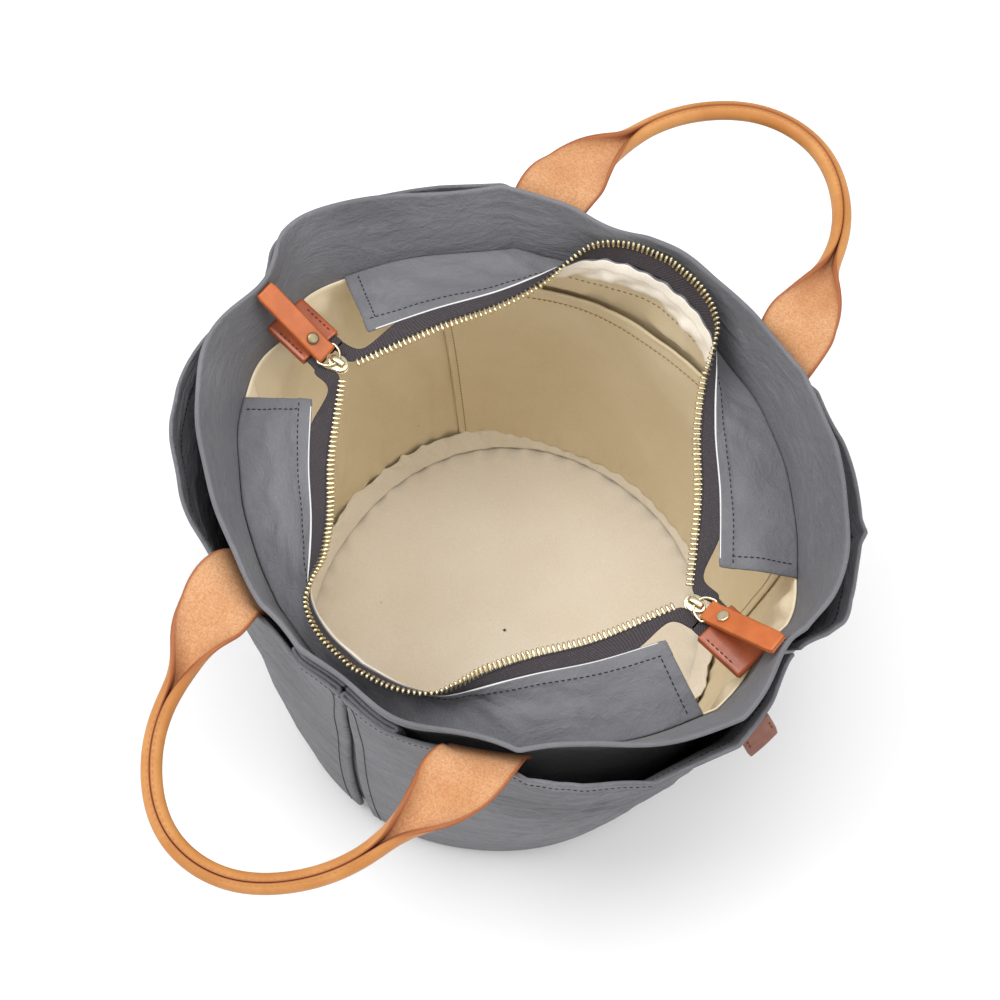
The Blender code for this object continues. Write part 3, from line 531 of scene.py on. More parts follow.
def slump(turn, z):
    """How far the cloth has moved out of its even outline with wear, in metres."""
    around = np.radians(turn)
    u, v = np.cos(around) * 0.15, np.sin(around) * 0.15
    high = ramp(z, 0.02, 0.26)
    soft = 0.0016 * waves(u + v, z, 3, 0.30, 0.35) + 0.0008 * waves(u - v, z, 4, 0.12, 0.16)
    back_dent = -0.0060 * np.exp(-(((turn % 360 - 102) / 8) ** 2)) * ramp(z, 0.222, 0.256)
    ridges = creases(u + 0.4 * v, z * 0.6 + v, 5, 0.12, 0.30, 1.3) - 0.45
    kinks = 0.0040 * ridges * ramp(z, 0.15, 0.26)
    seam = np.minimum(turn % 180, 180 - turn % 180)
    below_rim = ramp(z, 0.165, 0.212) * (1 - ramp(z, 0.220, 0.250))
    pinch = -0.0075 * np.exp(-((seam / 9.0) ** 2)) * below_rim
    return (soft + kinks) * high + back_dent + pinch


def skin(turn, z, out=0.0):
    """A point out from the body's outer surface, or inside it if out is negative."""
    move = (out + slump(turn, z))[..., None]
    return outline(turn, z) + outward(turn, z) * move


def turn_at(x, z):
    """The turn from the +X side seam to where the back wall has this x, by halving."""
    low, high = 0.0 * x + 0.0 * z, 90.0 + 0.0 * x + 0.0 * z
    for _ in range(30):
        middle = (low + high) / 2
        wide = outline(middle, z)[..., 0] > np.abs(x)
        low, high = np.where(wide, middle, low), np.where(wide, high, middle)
    return np.where(x >= 0, low, 180 - low)


def quarter_turn(turn, side_x, side_y):
    turn = np.where(side_x > 0, turn, 180 - turn)
    return turn if side_y > 0 else -turn


print("the rim at the front:", skin(np.array(-90.0), np.array(0.26)).round(4))

# %% [markdown]
# A piece of cloth is a sheet with a front, a back and soft rounded edges. It could be a
# plane with a Solidify modifier, but the hems need a wall that changes its thickness, and
# the facings need another cloth on their back, so the walls are laid out point by point.

# %% Cloth from a grid of points
pieces = {}


def keep(name, mesh, *materials):
    """Link a finished mesh as one piece of the bag."""
    made = bpy.data.objects.new(name, mesh)
    for material in materials:
        made.data.materials.append(material)
    bpy.context.scene.collection.objects.link(made)
    pieces[name] = made
    return made


def smooth_mesh(name, points, faces):
    mesh = bpy.data.meshes.new(name)
    mesh.from_pydata(points.reshape(-1, 3).tolist(), [], faces)
    mesh.shade_smooth()
    return mesh


def grid_normals(grid, wraps):
    along = np.roll(grid, -1, 1) - np.roll(grid, 1, 1) if wraps else np.gradient(grid, axis=1)
    up = np.gradient(grid, axis=0)
    return unit(np.cross(along, up)), unit(along), unit(up)


def quads_of(index):
    """The four corners of each cell in a grid of point numbers."""
    corners = [index[:-1, :-1], index[:-1, 1:], index[1:, 1:], index[1:, :-1]]
    return np.stack(corners, -1).reshape(-1, 4)


def cloth(name, grid, thickness, outer, inner=None, wraps=False):
    """A sheet over rows and columns of middle points; its front is along x up."""
    rows, columns = grid.shape[:2]
    half = np.broadcast_to(np.asarray(thickness) / 2, (rows, columns))[..., None]
    normal, along, up = grid_normals(grid, wraps)
    index = np.arange(rows * columns).reshape(rows, columns)
    if wraps:
        loops = [(index[0], -up[0]), (index[-1][::-1], up[-1][::-1])]
        closed = np.concatenate([index, index[:, :1]], 1)
    else:
        loop = np.concatenate([index[0, :-1], index[:-1, -1], index[-1, :0:-1], index[:0:-1, 0]])
        away = np.zeros((rows, columns, 3))
        away[0] -= up[0]
        away[-1] += up[-1]
        away[:, 0] -= along[:, 0]
        away[:, -1] += along[:, -1]
        loops = [(loop, unit(away.reshape(-1, 3)[loop]))]
        closed = index
    count = rows * columns
    points = [(grid + normal * half).reshape(-1, 3), (grid - normal * half).reshape(-1, 3)]
    quads = quads_of(closed)
    faces = [quads, quads[:, ::-1] + count]
    base = 2 * count
    flat_half = half.reshape(-1, 1)
    for loop, away in loops:
        points.append(grid.reshape(-1, 3)[loop] + away * flat_half[loop] * 0.9)
        edge = base + np.arange(len(loop))
        ahead, next_edge = np.roll(loop, -1), np.roll(edge, -1)
        faces.append(np.stack([loop, edge, next_edge, ahead], -1))
        faces.append(np.stack([edge, loop + count, ahead + count, next_edge], -1))
        base += len(loop)
    points, faces = np.concatenate(points), np.concatenate(faces)
    mesh = smooth_mesh(name, points, faces.tolist())
    if inner:
        slots = np.zeros(len(faces), int)
        slots[len(quads) : 2 * len(quads)] = 1
        mesh.polygons.foreach_set("material_index", slots)
    steps_u = np.linalg.norm(np.diff(grid, axis=1), axis=-1).mean(0)
    steps_v = np.linalg.norm(np.diff(grid, axis=0), axis=-1).mean(1)
    lengths = [np.concatenate([[0], np.cumsum(steps)]) for steps in (steps_u, steps_v)]
    flat = np.stack(np.meshgrid(*lengths), -1).reshape(-1, 2)
    flat = np.concatenate([flat, flat] + [flat[loop] for loop, _ in loops])
    uv = mesh.uv_layers.new(name="cloth")
    corner = np.empty(len(mesh.loops), int)
    mesh.loops.foreach_get("vertex_index", corner)
    uv.data.foreach_set("uv", flat[corner].ravel())
    return keep(name, mesh, outer, *([inner] if inner else []))


print("cloth helper ready")

# %% [markdown]
# Stitches are what makes cloth look sewn. Each is a short spindle of thread that is sunk at
# both ends. One spindle is worked out once and copied along a line, so a seam of hundreds
# of stitches has only a few dozen faces for each.

# %% Stitches and round cords
def run_lengths(path):
    """The way along a path from its start to each of its points."""
    return np.concatenate([[0], np.cumsum(np.linalg.norm(np.diff(path, axis=0), axis=1))])


def at_places(places, lengths, values):
    """A path's points or vectors at places along it."""
    return np.stack([np.interp(places, lengths, values[:, k]) for k in range(3)], -1)


def stitch_line(path, normal, pitch=0.0030, length=0.0023, radius=0.00028, stand=0.0001):
    """Points and faces of one row of stitches; normal points away from the cloth."""
    path, normal = np.asarray(path, float), np.asarray(normal, float)
    lengths = run_lengths(path)
    places = np.arange(pitch, lengths[-1] - pitch, pitch)
    centre = at_places(places, lengths, path)
    up = unit(at_places(places, lengths, normal))
    step = 0.3 * pitch
    beyond, before = (at_places(places + s * step, lengths, path) for s in (1, -1))
    ahead = unit(beyond - before)
    side = np.cross(up, ahead)
    # Each station has its place along the stitch, its thickness and its rise.
    stations = (
        (-0.50, 0.35, -0.9), (-0.28, 1.0, 0.3), (0.0, 1.1, 0.7),
        (0.28, 1.0, 0.3), (0.50, 0.35, -0.9),
    )
    sides = 6
    rings = []
    for reach, thick, rise in stations:
        ring = centre + ahead * (reach * length) + up * (stand + radius * rise)
        for k in range(sides):
            a = 2 * np.pi * k / sides
            aside, above = radius * thick * np.cos(a), radius * thick * np.sin(a)
            rings.append(ring + side * aside + up * above)
    points = np.stack(rings, 1)
    index = np.arange(points.shape[1]).reshape(len(stations), sides)
    one = quads_of(np.concatenate([index, index[:, :1]], 1))
    faces = (one[None] + (np.arange(len(places)) * points.shape[1])[:, None, None]).reshape(-1, 4)
    return points.reshape(-1, 3), faces[:, ::-1]


def sewn(name, lines, thread):
    """One piece from several rows of stitches."""
    points, faces, base = [], [], 0
    for line_points, line_faces in lines:
        points.append(line_points)
        faces.append(line_faces + base)
        base += len(line_points)
    mesh = smooth_mesh(name, np.concatenate(points), np.concatenate(faces).tolist())
    return keep(name, mesh, thread)


def face_outwards(mesh):
    """Turn every face of a closed mesh to its outside."""
    shape = bmesh.new()
    shape.from_mesh(mesh)
    bmesh.ops.recalc_face_normals(shape, faces=shape.faces)
    shape.to_mesh(mesh)
    shape.free()


def tube(name, path, radius, material, sides=10, closed=False, ripple=None):
    """A round cord along a path, with a radius that may change along it."""
    path = np.asarray(path, float)
    ahead = np.roll(path, -1, 0) - np.roll(path, 1, 0) if closed else np.gradient(path, axis=0)
    ahead = unit(ahead)
    start = np.array([0.0, 0.0, 1.0])
    side = unit(np.cross(ahead, start))
    up = np.cross(side, ahead)
    reach = np.broadcast_to(radius, (len(path),))[:, None]
    if ripple is not None:
        reach = reach * ripple[:, None]
    angles = 2 * np.pi * np.arange(sides) / sides
    rings = path[:, None] + reach[:, None] * (
        side[:, None] * np.cos(angles)[None, :, None] + up[:, None] * np.sin(angles)[None, :, None]
    )
    index = np.arange(len(path) * sides).reshape(len(path), sides)
    index = np.concatenate([index, index[:, :1]], 1)
    if closed:
        index = np.concatenate([index, index[:1]], 0)
    faces = quads_of(index).tolist()
    if not closed:
        faces += [index[0, :-1].tolist()[::-1], index[-1, :-1].tolist()]
    mesh = smooth_mesh(name, rings, faces)
    face_outwards(mesh)
    return keep(name, mesh, material)


print("stitches and cords ready")

# %% [markdown]
# The body: washed cotton, sewn from a front and a back half. Its rim is folded in and forms
# a band inside, so the wall is thicker there. The rim line itself wanders by a millimetre.

# %% Body
def heights(low, high, count):
    return low + (high - low) * np.linspace(0, 1, count)


def rim_wander(turn, z):
    """How far the rim stands above or below its even height."""
    around = np.radians(turn)
    soft = waves(np.cos(around), np.sin(around), 11, 1.1, 1.1) * 0.0012
    return soft * ramp(z, 0.235, 0.260)


turns = np.linspace(0, 360, 480, endpoint=False)
lower = heights(BASE_PANEL_THICKNESS + SEAT_GAP, 0.214, 60)
body_z = np.concatenate([lower, heights(0.216, BAG_HEIGHT, 34)])
turn_grid, z_grid = np.meshgrid(turns, body_z)
body_grid = skin(turn_grid, z_grid, -BODY_WALL / 2 + 0 * z_grid)
body_grid[..., 2] += rim_wander(turn_grid, z_grid)
HEM_EXTRA, RIM_HEM = 0.0005, (0.2485, 0.2500)
rim_hem = HEM_EXTRA * ramp(z_grid, *RIM_HEM)
body = cloth("body_shell", body_grid, BODY_WALL + rim_hem, body_cotton, wraps=True)
print("body:", len(body.data.polygons), "faces")

# %% [markdown]
# The rim is turned in without a visible seam, but each side seam shows a short column of
# close dark stitches, on both faces of the wall, where the two halves of the body meet.

# %% Side seam stitches
def line_on_body(turn, z, out):
    """Points and outward directions along a line on the body."""
    place = skin(turn, z, out + 0 * z)
    place[..., 2] += rim_wander(turn, z)
    return place, outward(turn, z)


rim_lines = []
for seam in (0.0, 180.0):
    z = np.linspace(0.244, 0.2585, 30)
    place, away_from = line_on_body(seam + 0 * z, z, 0.0)
    rim_lines.append(stitch_line(place, away_from, pitch=0.0022))
    place, away_from = line_on_body(seam + 0 * z, z, -BODY_WALL)
    rim_lines.append(stitch_line(place, -away_from, pitch=0.0022))
rim_stitches = sewn("rim_stitches", rim_lines, dark_thread)
print("rim stitches:", len(rim_stitches.data.polygons), "faces")

# %% [markdown]
# The base is a stiff padded disc under the bag. It starts as a filled circle whose corners
# are moved to the bag's outline, and its edge is rounded with a bevel.

# %% Base panel
BASE_CORNERS = 160
bpy.ops.object.select_all(action="DESELECT")
bpy.ops.mesh.primitive_circle_add(vertices=BASE_CORNERS, radius=0.1, fill_type="NGON")
base_panel = bpy.context.object
base_panel.name = "base_panel_cloth"
corner_turns = np.arange(BASE_CORNERS) * 360 / BASE_CORNERS
edge_points = skin(corner_turns, np.zeros(BASE_CORNERS), np.zeros(BASE_CORNERS))
for vertex, place in zip(base_panel.data.vertices, edge_points):
    vertex.co = place
bpy.ops.object.mode_set(mode="EDIT")
bpy.ops.mesh.select_all(action="SELECT")
bpy.ops.mesh.extrude_region_move(TRANSFORM_OT_translate={"value": (0, 0, BASE_PANEL_THICKNESS)})
bpy.ops.mesh.select_all(action="SELECT")
bpy.ops.mesh.normals_make_consistent(inside=False)
bpy.ops.object.mode_set(mode="OBJECT")
bevel = base_panel.modifiers.new("edge", "BEVEL")
bevel.width, bevel.segments, bevel.limit_method = 0.0011, 3, "ANGLE"
bpy.ops.object.modifier_apply(modifier="edge")
bpy.ops.object.shade_smooth_by_angle(angle=math.radians(40))
base_panel.location = (0, 0, 0)
base_panel.data.materials.append(body_cotton)
pieces["base_panel_cloth"] = base_panel
print("base panel:", len(base_panel.data.polygons), "faces")

# %% [markdown]
# The lining is a second, cream shell inside the body. It hangs a little loose, so it has
# soft upright folds, and it is gathered where it meets the floor.

# %% Lining wall and floor
LINING_INSET = BODY_WALL + SEAT_GAP + LINING_WALL / 2
foot = BASE_PANEL_THICKNESS + SEAT_GAP
lining_z = heights(foot, BAG_HEIGHT - BAND_DEPTH - SEAT_GAP, 90)
turn_grid, z_grid = np.meshgrid(np.linspace(0, 360, 540, endpoint=False), lining_z)


def lining_loose(turn, z):
    """How far the lining hangs in from the wall: upright folds and gathers at the floor."""
    angle = np.radians(turn)
    ring_x, ring_y = np.cos(angle), np.sin(angle)
    upright = np.clip(waves(ring_x, z + 0.5 * ring_y, 21, 0.42, 0.30) + 0.35, 0, 2) * 0.0022
    folds = creases(ring_x + 0.3 * ring_y, z - ring_y * 0.4, 22, 0.45, 0.30, 3) * 0.0014
    gathers = (0.5 + 0.5 * np.sin(turn * 1.2 + 2.5 * np.sin(turn * 0.05))) * 0.0011
    gathers = gathers * (1 - ramp(z, 0.008, 0.040))
    held = ramp(z, 0.004, 0.030) * (1 - ramp(z, 0.185, 0.2125))
    behind_pocket = ramp(turn % 360, 22, 28) * (1 - ramp(turn % 360, 139, 145))
    behind_pocket = behind_pocket * (1 - ramp(z, 0.183, 0.192))
    seam = np.minimum(turn % 180, 180 - turn % 180)
    drawn = np.clip(np.sin(turn * 0.42 + 3 * ring_y), 0, 1) * 0.0045 * (1 - ramp(seam, 24, 42))
    drawn = drawn * ramp(z, 0.13, 0.20) * (1 - ramp(z, 0.205, 0.2177))
    return (upright + folds) * held * (1 - behind_pocket) + gathers + drawn


lining_grid = skin(turn_grid, z_grid, -LINING_INSET - lining_loose(turn_grid, z_grid))
lining = cloth("lining_wall_cloth", lining_grid, LINING_WALL, painted_shade_cream, wraps=True)
FLOOR_INSET = LINING_INSET + LINING_WALL / 2 + SEAT_GAP
shares = np.linspace(0.01, 1.0, 90)
turn_grid, share_grid = np.meshgrid(np.linspace(0, 360, 360, endpoint=False), shares)
edge_ring = skin(turn_grid, foot + 0 * turn_grid, -FLOOR_INSET - 0.0008 + 0 * turn_grid)
centre = np.array([0.0, -BASE_SHIFT, 0.0])
floor_grid = centre + (edge_ring - centre) * share_grid[..., None]
bumps = 0.0010 * waves(floor_grid[..., 0], floor_grid[..., 1], 31, 0.10, 0.10)
pucker = 0.0012 * np.sin(np.radians(turn_grid) * 46 + 2 * waves(share_grid, share_grid, 32, 1, 1))
floor_z = foot + FLOOR_THICKNESS / 2 + 0.0014 + bumps * (1 - ramp(share_grid, 0.9, 1.0))
near_edge = ramp(share_grid, 0.86, 0.94) * (1 - ramp(share_grid, 0.97, 1.0))
floor_grid[..., 2] = floor_z + pucker * near_edge
lining_floor = cloth("lining_floor_cloth", floor_grid[::-1], 0.0011, cream, wraps=True)
print("lining:", len(lining.data.polygons) + len(lining_floor.data.polygons), "faces")

# %% [markdown]
# Round the floor stands a bound seam: a strip of the same cream cloth folded over the raw
# edges and sewn. It is drawn as a cord whose thickness puckers at each stitch, under a
# ruffled flap that leans in over the floor.

# %% Floor binding
SEAM_LEVEL, SEAM_STITCH_INSET, SEAM_STITCH_LEVEL = 0.012, 0.0084, 0.0116
FLAP_TOP, FLAP_DROP, FLAP_REACH, FLAP_WALL = 0.0172, 0.0088, 0.0092, 0.0012
around = np.linspace(0, 360, 720, endpoint=False)
angle = np.radians(around)
binding_z = foot + FLOOR_THICKNESS + SEAT_GAP + BINDING_RADIUS
wobble = 0.0007 * waves(np.cos(angle), np.sin(angle), 41, 0.25, 0.25)
binding_path = skin(around, binding_z + 0 * around, -FLOOR_INSET - BINDING_RADIUS - 0.0004 + wobble)
binding_path[:, 2] += np.abs(wobble)
pinch = 1 + 0.07 * np.sin(angle * 96) + 0.07 * waves(angle, 0, 42, 0.16, 1)
binding = tube("floor_binding_cloth", binding_path, BINDING_RADIUS * 0.88, cream, 12, True, pinch)
inner_ring = skin(around, SEAM_LEVEL + 0 * around, -FLOOR_INSET - SEAM_STITCH_INSET)
inner_ring[:, 2] = SEAM_STITCH_LEVEL
slant = np.array([0.0, 0.0, 1.0]) - outward(around, 0 * around)
sewn("binding_stitches", [stitch_line(inner_ring, slant, 0.0042, 0.003)], cream_thread)
turn_grid, share_grid = np.meshgrid(around, np.linspace(0, 1, 14))
ruffle = np.sin(np.radians(turn_grid) * 41 + 3 * np.sin(np.radians(turn_grid) * 7)) * 0.0008
ruffle = ruffle + 0.0008 * waves(np.radians(turn_grid), share_grid, 43, 0.12, 1.5)
flap_z = FLAP_TOP - FLAP_DROP * share_grid**1.4 + np.abs(ruffle)
flap_inset = FLOOR_INSET + 0.0016 + FLAP_REACH * share_grid - ruffle * (1 - share_grid)
flap_grid = skin(turn_grid, SEAM_LEVEL + 0 * turn_grid, -flap_inset)
flap_grid[..., 2] = flap_z
seam_flap = cloth("floor_seam_flap", flap_grid[::-1], FLAP_WALL, cream, wraps=True)
print("binding:", len(binding.data.polygons) + len(seam_flap.data.polygons), "faces")

# %% [markdown]
# The inner pocket is one more cream panel on the back wall. It is sewn down at its foot and
# its ends and stands off between them, and its mouth is hemmed.

# %% Inner pocket
INNER_HEM, INNER_HEM_STITCHES, LINING_TOP_STITCHES = (0.1748, 0.1758), 0.1762, 0.2065
POCKET_SEAT = BODY_WALL + LINING_WALL + 3 * SEAT_GAP + 0.0006
pocket_z = heights(INNER_POCKET_FOOT, INNER_POCKET_TOP, 80)
share_along = np.linspace(0, 1, 200)
share_grid, z_grid = np.meshgrid(share_along, pocket_z)
turn_grid = between(INNER_POCKET_TURNS[0], INNER_POCKET_TURNS[1], share_grid)
rise = (z_grid - INNER_POCKET_FOOT) / (INNER_POCKET_TOP - INNER_POCKET_FOOT)
stand = between(2.2 * BINDING_RADIUS, 0.0036, rise) * np.sin(np.pi * share_grid) ** 0.7
clear = lining_loose(turn_grid, z_grid)
soft = 0.0008 * waves(share_grid * 0.3, z_grid, 51, 0.14, 0.16) * np.sin(np.pi * share_grid)
inner_grid = skin(turn_grid, z_grid, -POCKET_SEAT - np.maximum(stand + soft, 0.0) - clear)
inner_wall = LINING_WALL + 0.0007 * ramp(z_grid, *INNER_HEM)
inner_pocket = cloth("inner_pocket_cloth", inner_grid[:, ::-1], inner_wall[:, ::-1], painted_shade_cream)
inner_lines = []
normals = -outward(turn_grid, z_grid)
level = int(np.argmin(np.abs(pocket_z - INNER_HEM_STITCHES)))
inner_lines.append(stitch_line(inner_grid[level] + normals[level] * 0.0009, normals[level]))
for column in (3, 196):
    normal = normals[:, column]
    inner_lines.append(stitch_line(inner_grid[:, column] + normal * 0.0006, normal))
top_turn = np.linspace(38, 142, 300)
top_z = LINING_TOP_STITCHES + 0 * top_turn
top_inset = LINING_INSET + LINING_WALL / 2 + lining_loose(top_turn, top_z)
top_place = skin(top_turn, top_z, -top_inset)
inner_lines.append(stitch_line(top_place, -outward(top_turn, top_z), pitch=0.0034))
sewn("lining_stitches", inner_lines, cream_thread)
print("inner pocket:", len(inner_pocket.data.polygons), "faces")

# %% [markdown]
# Four outer pockets wrap the body. Each begins at the front or back slit with a box pleat:
# the cloth runs in, folds back on itself, and only then goes round to the side seam. The
# mouth stands off the body, so each pocket's outer layer has its own rounder outline.

# %% Outer pockets
POCKET_COLUMNS = 190  # from the slit's edge to the side seam
POCKET_HEM, POCKET_HEM_EXTRA = 0.2312, 0.0006


def pleat_path(slit):
    """Level distances from the middle and outwards for the three layers of the pleat."""
    pitch = POCKET_WALL + LAYER_GAP
    first = SEAT_GAP + POCKET_WALL / 2
    inner, outer, turn_back = first + pitch, first + 2 * pitch, pitch / 2
    bow = np.radians(np.linspace(-90, 90, 9))[1:-1]
    bow_x, bow_out = turn_back * np.cos(bow), turn_back * np.sin(bow)
    fold_x, fold_out = PLEAT_DEPTH + bow_x, (first + inner) / 2 + bow_out
    slit_edge = slit + turn_back
    turned_x, turned_out = slit_edge - bow_x, (inner + outer) / 2 + bow_out
    x = [np.linspace(PLEAT_START, PLEAT_DEPTH, 14), fold_x]
    x += [np.linspace(PLEAT_DEPTH, slit_edge, 18), turned_x]
    out = [0 * x[0] + first, fold_out, 0 * x[2] + inner, turned_out]
    return np.concatenate(x), np.concatenate(out), slit_edge, outer


def pocket_place(along, turn, z, near, loose):
    rise = (z - POCKET_FOOT) / (POCKET_TOP - POCKET_FOOT)
    seam = SEAM_STANDOFF * FULLNESS["edge"](along) * rise**3
    seat = SEAT_GAP + POCKET_WALL / 2
    close = skin(turn, z, seam + between(near, seat, np.minimum(1.0, 2 * along)))
    share = np.clip(FULLNESS["share"](along), 0, 1)
    full = pocket_outline(turn, z) + outward(turn, z) * (slump(turn, z) + loose)[..., None]
    return close + (full - close) * share[..., None]


def pocket_loose(along, z, seed, crinkle):
    """Soft swells and level creases of a pocket's free cloth."""
    length = along * 0.23
    swell = 0.0011 * waves(length, z, seed, 0.24, 0.20)
    swell = swell + 0.0004 * waves(length, z, seed + 1, 0.09, 0.05)
    level = creases(length, z, seed + 2, 0.22, 0.040, 3) * 0.0013
    small = creases(length, z, seed + 3, 0.075, 0.015, 2) * 0.0008 * crinkle
    hem = 1 - ramp(z, 0.226, 0.236)
    ridges = creases(length, z * 0.5, seed + 7, 0.10, 0.22, 1.3) - 0.45
    kinks = 0.0026 * ridges * ramp(z, 0.12, 0.24)
    return (swell + kinks + (level + small) * hem) * ramp(z, 0.006, 0.05)


POCKETS = {}
pocket_z = np.concatenate([heights(POCKET_FOOT, 0.228, 120), heights(0.2295, POCKET_TOP, 26)])
for front_or_back, side_y in (("front", -1), ("back", 1)):
    for left_or_right, side_x in (("left", -1), ("right", 1)):
        seed = 60 + 10 * (side_y > 0) + 5 * (side_x > 0)
        rows = []
        for z in pocket_z:
            slit = between(SLIT_FOOT, SLIT_TOP, (z - POCKET_FOOT) / (POCKET_TOP - POCKET_FOOT))
            x, out, slit_edge, near = pleat_path(slit)
            level = z + 0 * x
            folded = skin(quarter_turn(turn_at(x, level), side_x, side_y), level, out)
            along = np.linspace(0, 1, POCKET_COLUMNS)
            start = turn_at(np.array([slit_edge]), np.array([z]))[0]
            level = z + 0 * along
            turn = quarter_turn(between(start, SIDE_SEAM_TURN, along), side_x, side_y)
            loose = pocket_loose(along, level, seed, 1.0 if side_y < 0 else 0.4)
            rows.append(np.concatenate([folded, pocket_place(along, turn, level, near, loose)]))
        grid = np.stack(rows)
        wander = 0.0012 * waves(grid[-1, :, 0], grid[-1, :, 1], seed + 4, 0.22, 0.22)
        grid[..., 2] += wander * ramp(grid[..., 2], 0.215, POCKET_TOP)
        hem_z = pocket_z[:, None] * np.ones(grid.shape[1])
        wall = POCKET_WALL + POCKET_HEM_EXTRA * ramp(hem_z, POCKET_HEM, 0.2322)
        if side_x * side_y > 0:
            grid, wall = grid[:, ::-1], wall[:, ::-1]
        name = f"pocket_{front_or_back}_{left_or_right}"
        cotton = crinkled_cotton if side_y < 0 else body_cotton
        POCKETS[name] = grid
        cloth(name + "_cloth", grid, wall, cotton)
print("pockets:", sum(len(pieces[n + "_cloth"].data.polygons) for n in POCKETS), "faces")

# %% [markdown]
# The pocket hems have one row of stitches, and each fold at the slit is edge-stitched.

# %% Pocket stitches
pocket_lines = []
for name, grid in POCKETS.items():
    normal = grid_normals(grid, False)[0]
    level = int(np.argmin(np.abs(pocket_z - POCKET_HEM)))
    for sign in (1, -1):
        line = grid[level] + sign * normal[level] * (POCKET_WALL / 2 + 0.0001)
        pocket_lines.append(stitch_line(line, sign * normal[level]))
    first = grid.shape[1] - POCKET_COLUMNS
    flipped = "front_left" in name or "back_right" in name
    column = (grid.shape[1] - 1 - (first + 4)) if flipped else first + 4
    line = grid[:, column] + normal[:, column] * (POCKET_WALL / 2)
    pocket_lines.append(stitch_line(line, normal[:, column], pitch=0.0034))
pocket_stitches = sewn("pocket_stitches", pocket_lines, dark_thread)
print("pocket stitches:", len(pocket_stitches.data.polygons), "faces")

# %% [markdown]
# Two grey facings carry the zip. Each is sewn under the rim band and slopes in to a free
# edge. They are grey above and cream below, so the sheet has another cloth on its back, and
# a thin white cord shows where the raw edge is turned along the tape.

# %% Facings
FACING_END_TURN_X, ZIP_SHIFT, ZIP_HALF_LENGTH = 0.148, -0.004, 0.112
FACING_COLUMNS, FACING_ROWS, HEM_ROW = 260, 46, 38


def zip_line(column, along, side_y):
    """The free edge of a facing ("edge") or the line of the teeth ("teeth") at -1 to 1."""
    far = np.abs(along)
    x = np.copysign(FACING[column + "_x"](far), along) * MOUTH[0]
    y = side_y * FACING[column + "_y"](far) * MOUTH[1] + ZIP_SHIFT * along**2
    z = FACING[column + "_z"](far) * BAG_HEIGHT
    if column == "edge" and side_y > 0:
        z = z + 0.0010 * np.sin(2 * np.pi * x / 0.0115) * (1 - ramp(far, 0.25, 0.42))
    return np.stack([x, y, z], -1)


def facing_grid(along, share, side_y):
    level = BAG_HEIGHT - BAND_DEPTH + FACING_WALL + 0 * along
    inset = BODY_WALL + SEAT_GAP + FACING_WALL / 2
    side_x = np.where(along >= 0, 1, -1)
    turn = quarter_turn(turn_at(np.abs(along) * FACING_END_TURN_X, level), side_x, side_y)
    root = skin(turn, level, -inset + 0 * along)
    edge = zip_line("edge", along, side_y)
    sag = (FACING["belly"](np.abs(along)) * np.sin(np.pi * share))[..., None]
    down = np.array([0.0, 0.0, 0.3])
    return root + (edge - root) * share[..., None] - outward(turn, level) * sag - down * sag


FACINGS = {}
for name, side_y in (("facing_front", -1), ("facing_back", 1)):
    along, share = np.meshgrid(np.linspace(-1, 1, FACING_COLUMNS), np.linspace(0, 1, FACING_ROWS))
    grid = facing_grid(along, share, side_y)
    normal = grid_normals(grid if side_y < 0 else grid[:, ::-1], False)[0]
    seed = 90 + side_y
    soft = 0.0013 * waves(along, share, seed, 0.55, 1.4)
    soft = (soft + 0.0006 * waves(along, share, seed + 5, 0.16, 0.7)) * np.sin(np.pi * share)
    if side_y > 0:
        grid, soft = grid[:, ::-1], soft[:, ::-1]
    grid = grid + normal * soft[..., None]
    wall = FACING_WALL + 0.0006 * ramp(share, 0.80, 0.82)
    FACINGS[name] = (grid, normal)
    cloth(name + "_cloth", grid, wall, body_cotton, cream)
print("facings:", sum(len(pieces[n + "_cloth"].data.polygons) for n in FACINGS), "faces")

# %% [markdown]
# Dark stitches run close to the free edge of each facing and along its two end hems.

# %% Facing stitches and white edge
facing_lines = []
for name, side_y in (("facing_front", -1), ("facing_back", 1)):
    grid, normal = FACINGS[name]
    line, away_from = grid[HEM_ROW], normal[HEM_ROW]
    facing_lines.append(stitch_line(line + away_from * 0.0009, away_from, pitch=0.0031))
    for column in (3, FACING_COLUMNS - 4):
        line, away_from = grid[1:-3, column], normal[1:-3, column]
        facing_lines.append(stitch_line(line + away_from * 0.0007, away_from, pitch=0.0031))
    edge = grid[-1] + normal[-1] * 0.0002
    tube("zip_edge_" + name.split("_")[1], edge[2:-2], 0.00062, white_cloth, 8)
facing_stitches = sewn("facing_stitches", facing_lines, dark_thread)
print("facing stitches:", len(facing_stitches.data.polygons), "faces")

# %% [markdown]
# The zip's tapes are dark woven twill. They run from the facing's edge to just behind the
# teeth, and past the sliders they enter the leather tabs together.

# %% Zip tapes
SLIDER_LENGTH, SLIDER_WIDTH, SLIDER_HEIGHT = 0.0120, 0.0092, 0.0046
TEETH_WIDTH, TEETH_HEIGHT, TEETH_GAP, TEETH_PITCH = 0.0040, 0.0024, 0.0005, 0.00266
TAB_WIDTH, TAB_LENGTH, TAB_START, TAB_YAW, TAPE_TAIL = 0.0235, 0.028, 0.0135, -9.0, 0.0290


def end_frame(side_x):
    """The place and turn of a zip end: its own +X points outwards along the zip."""
    height = float(FACING["teeth_z"](1.0)) * BAG_HEIGHT
    facing = Matrix.Identity(4) if side_x > 0 else Matrix.Rotation(math.pi, 4, "Z")
    return Matrix.Translation((side_x * ZIP_HALF_LENGTH, ZIP_SHIFT, height)) @ facing


def tab_frame(side_x):
    return end_frame(side_x) @ Matrix.Rotation(math.radians(TAB_YAW), 4, "Z")


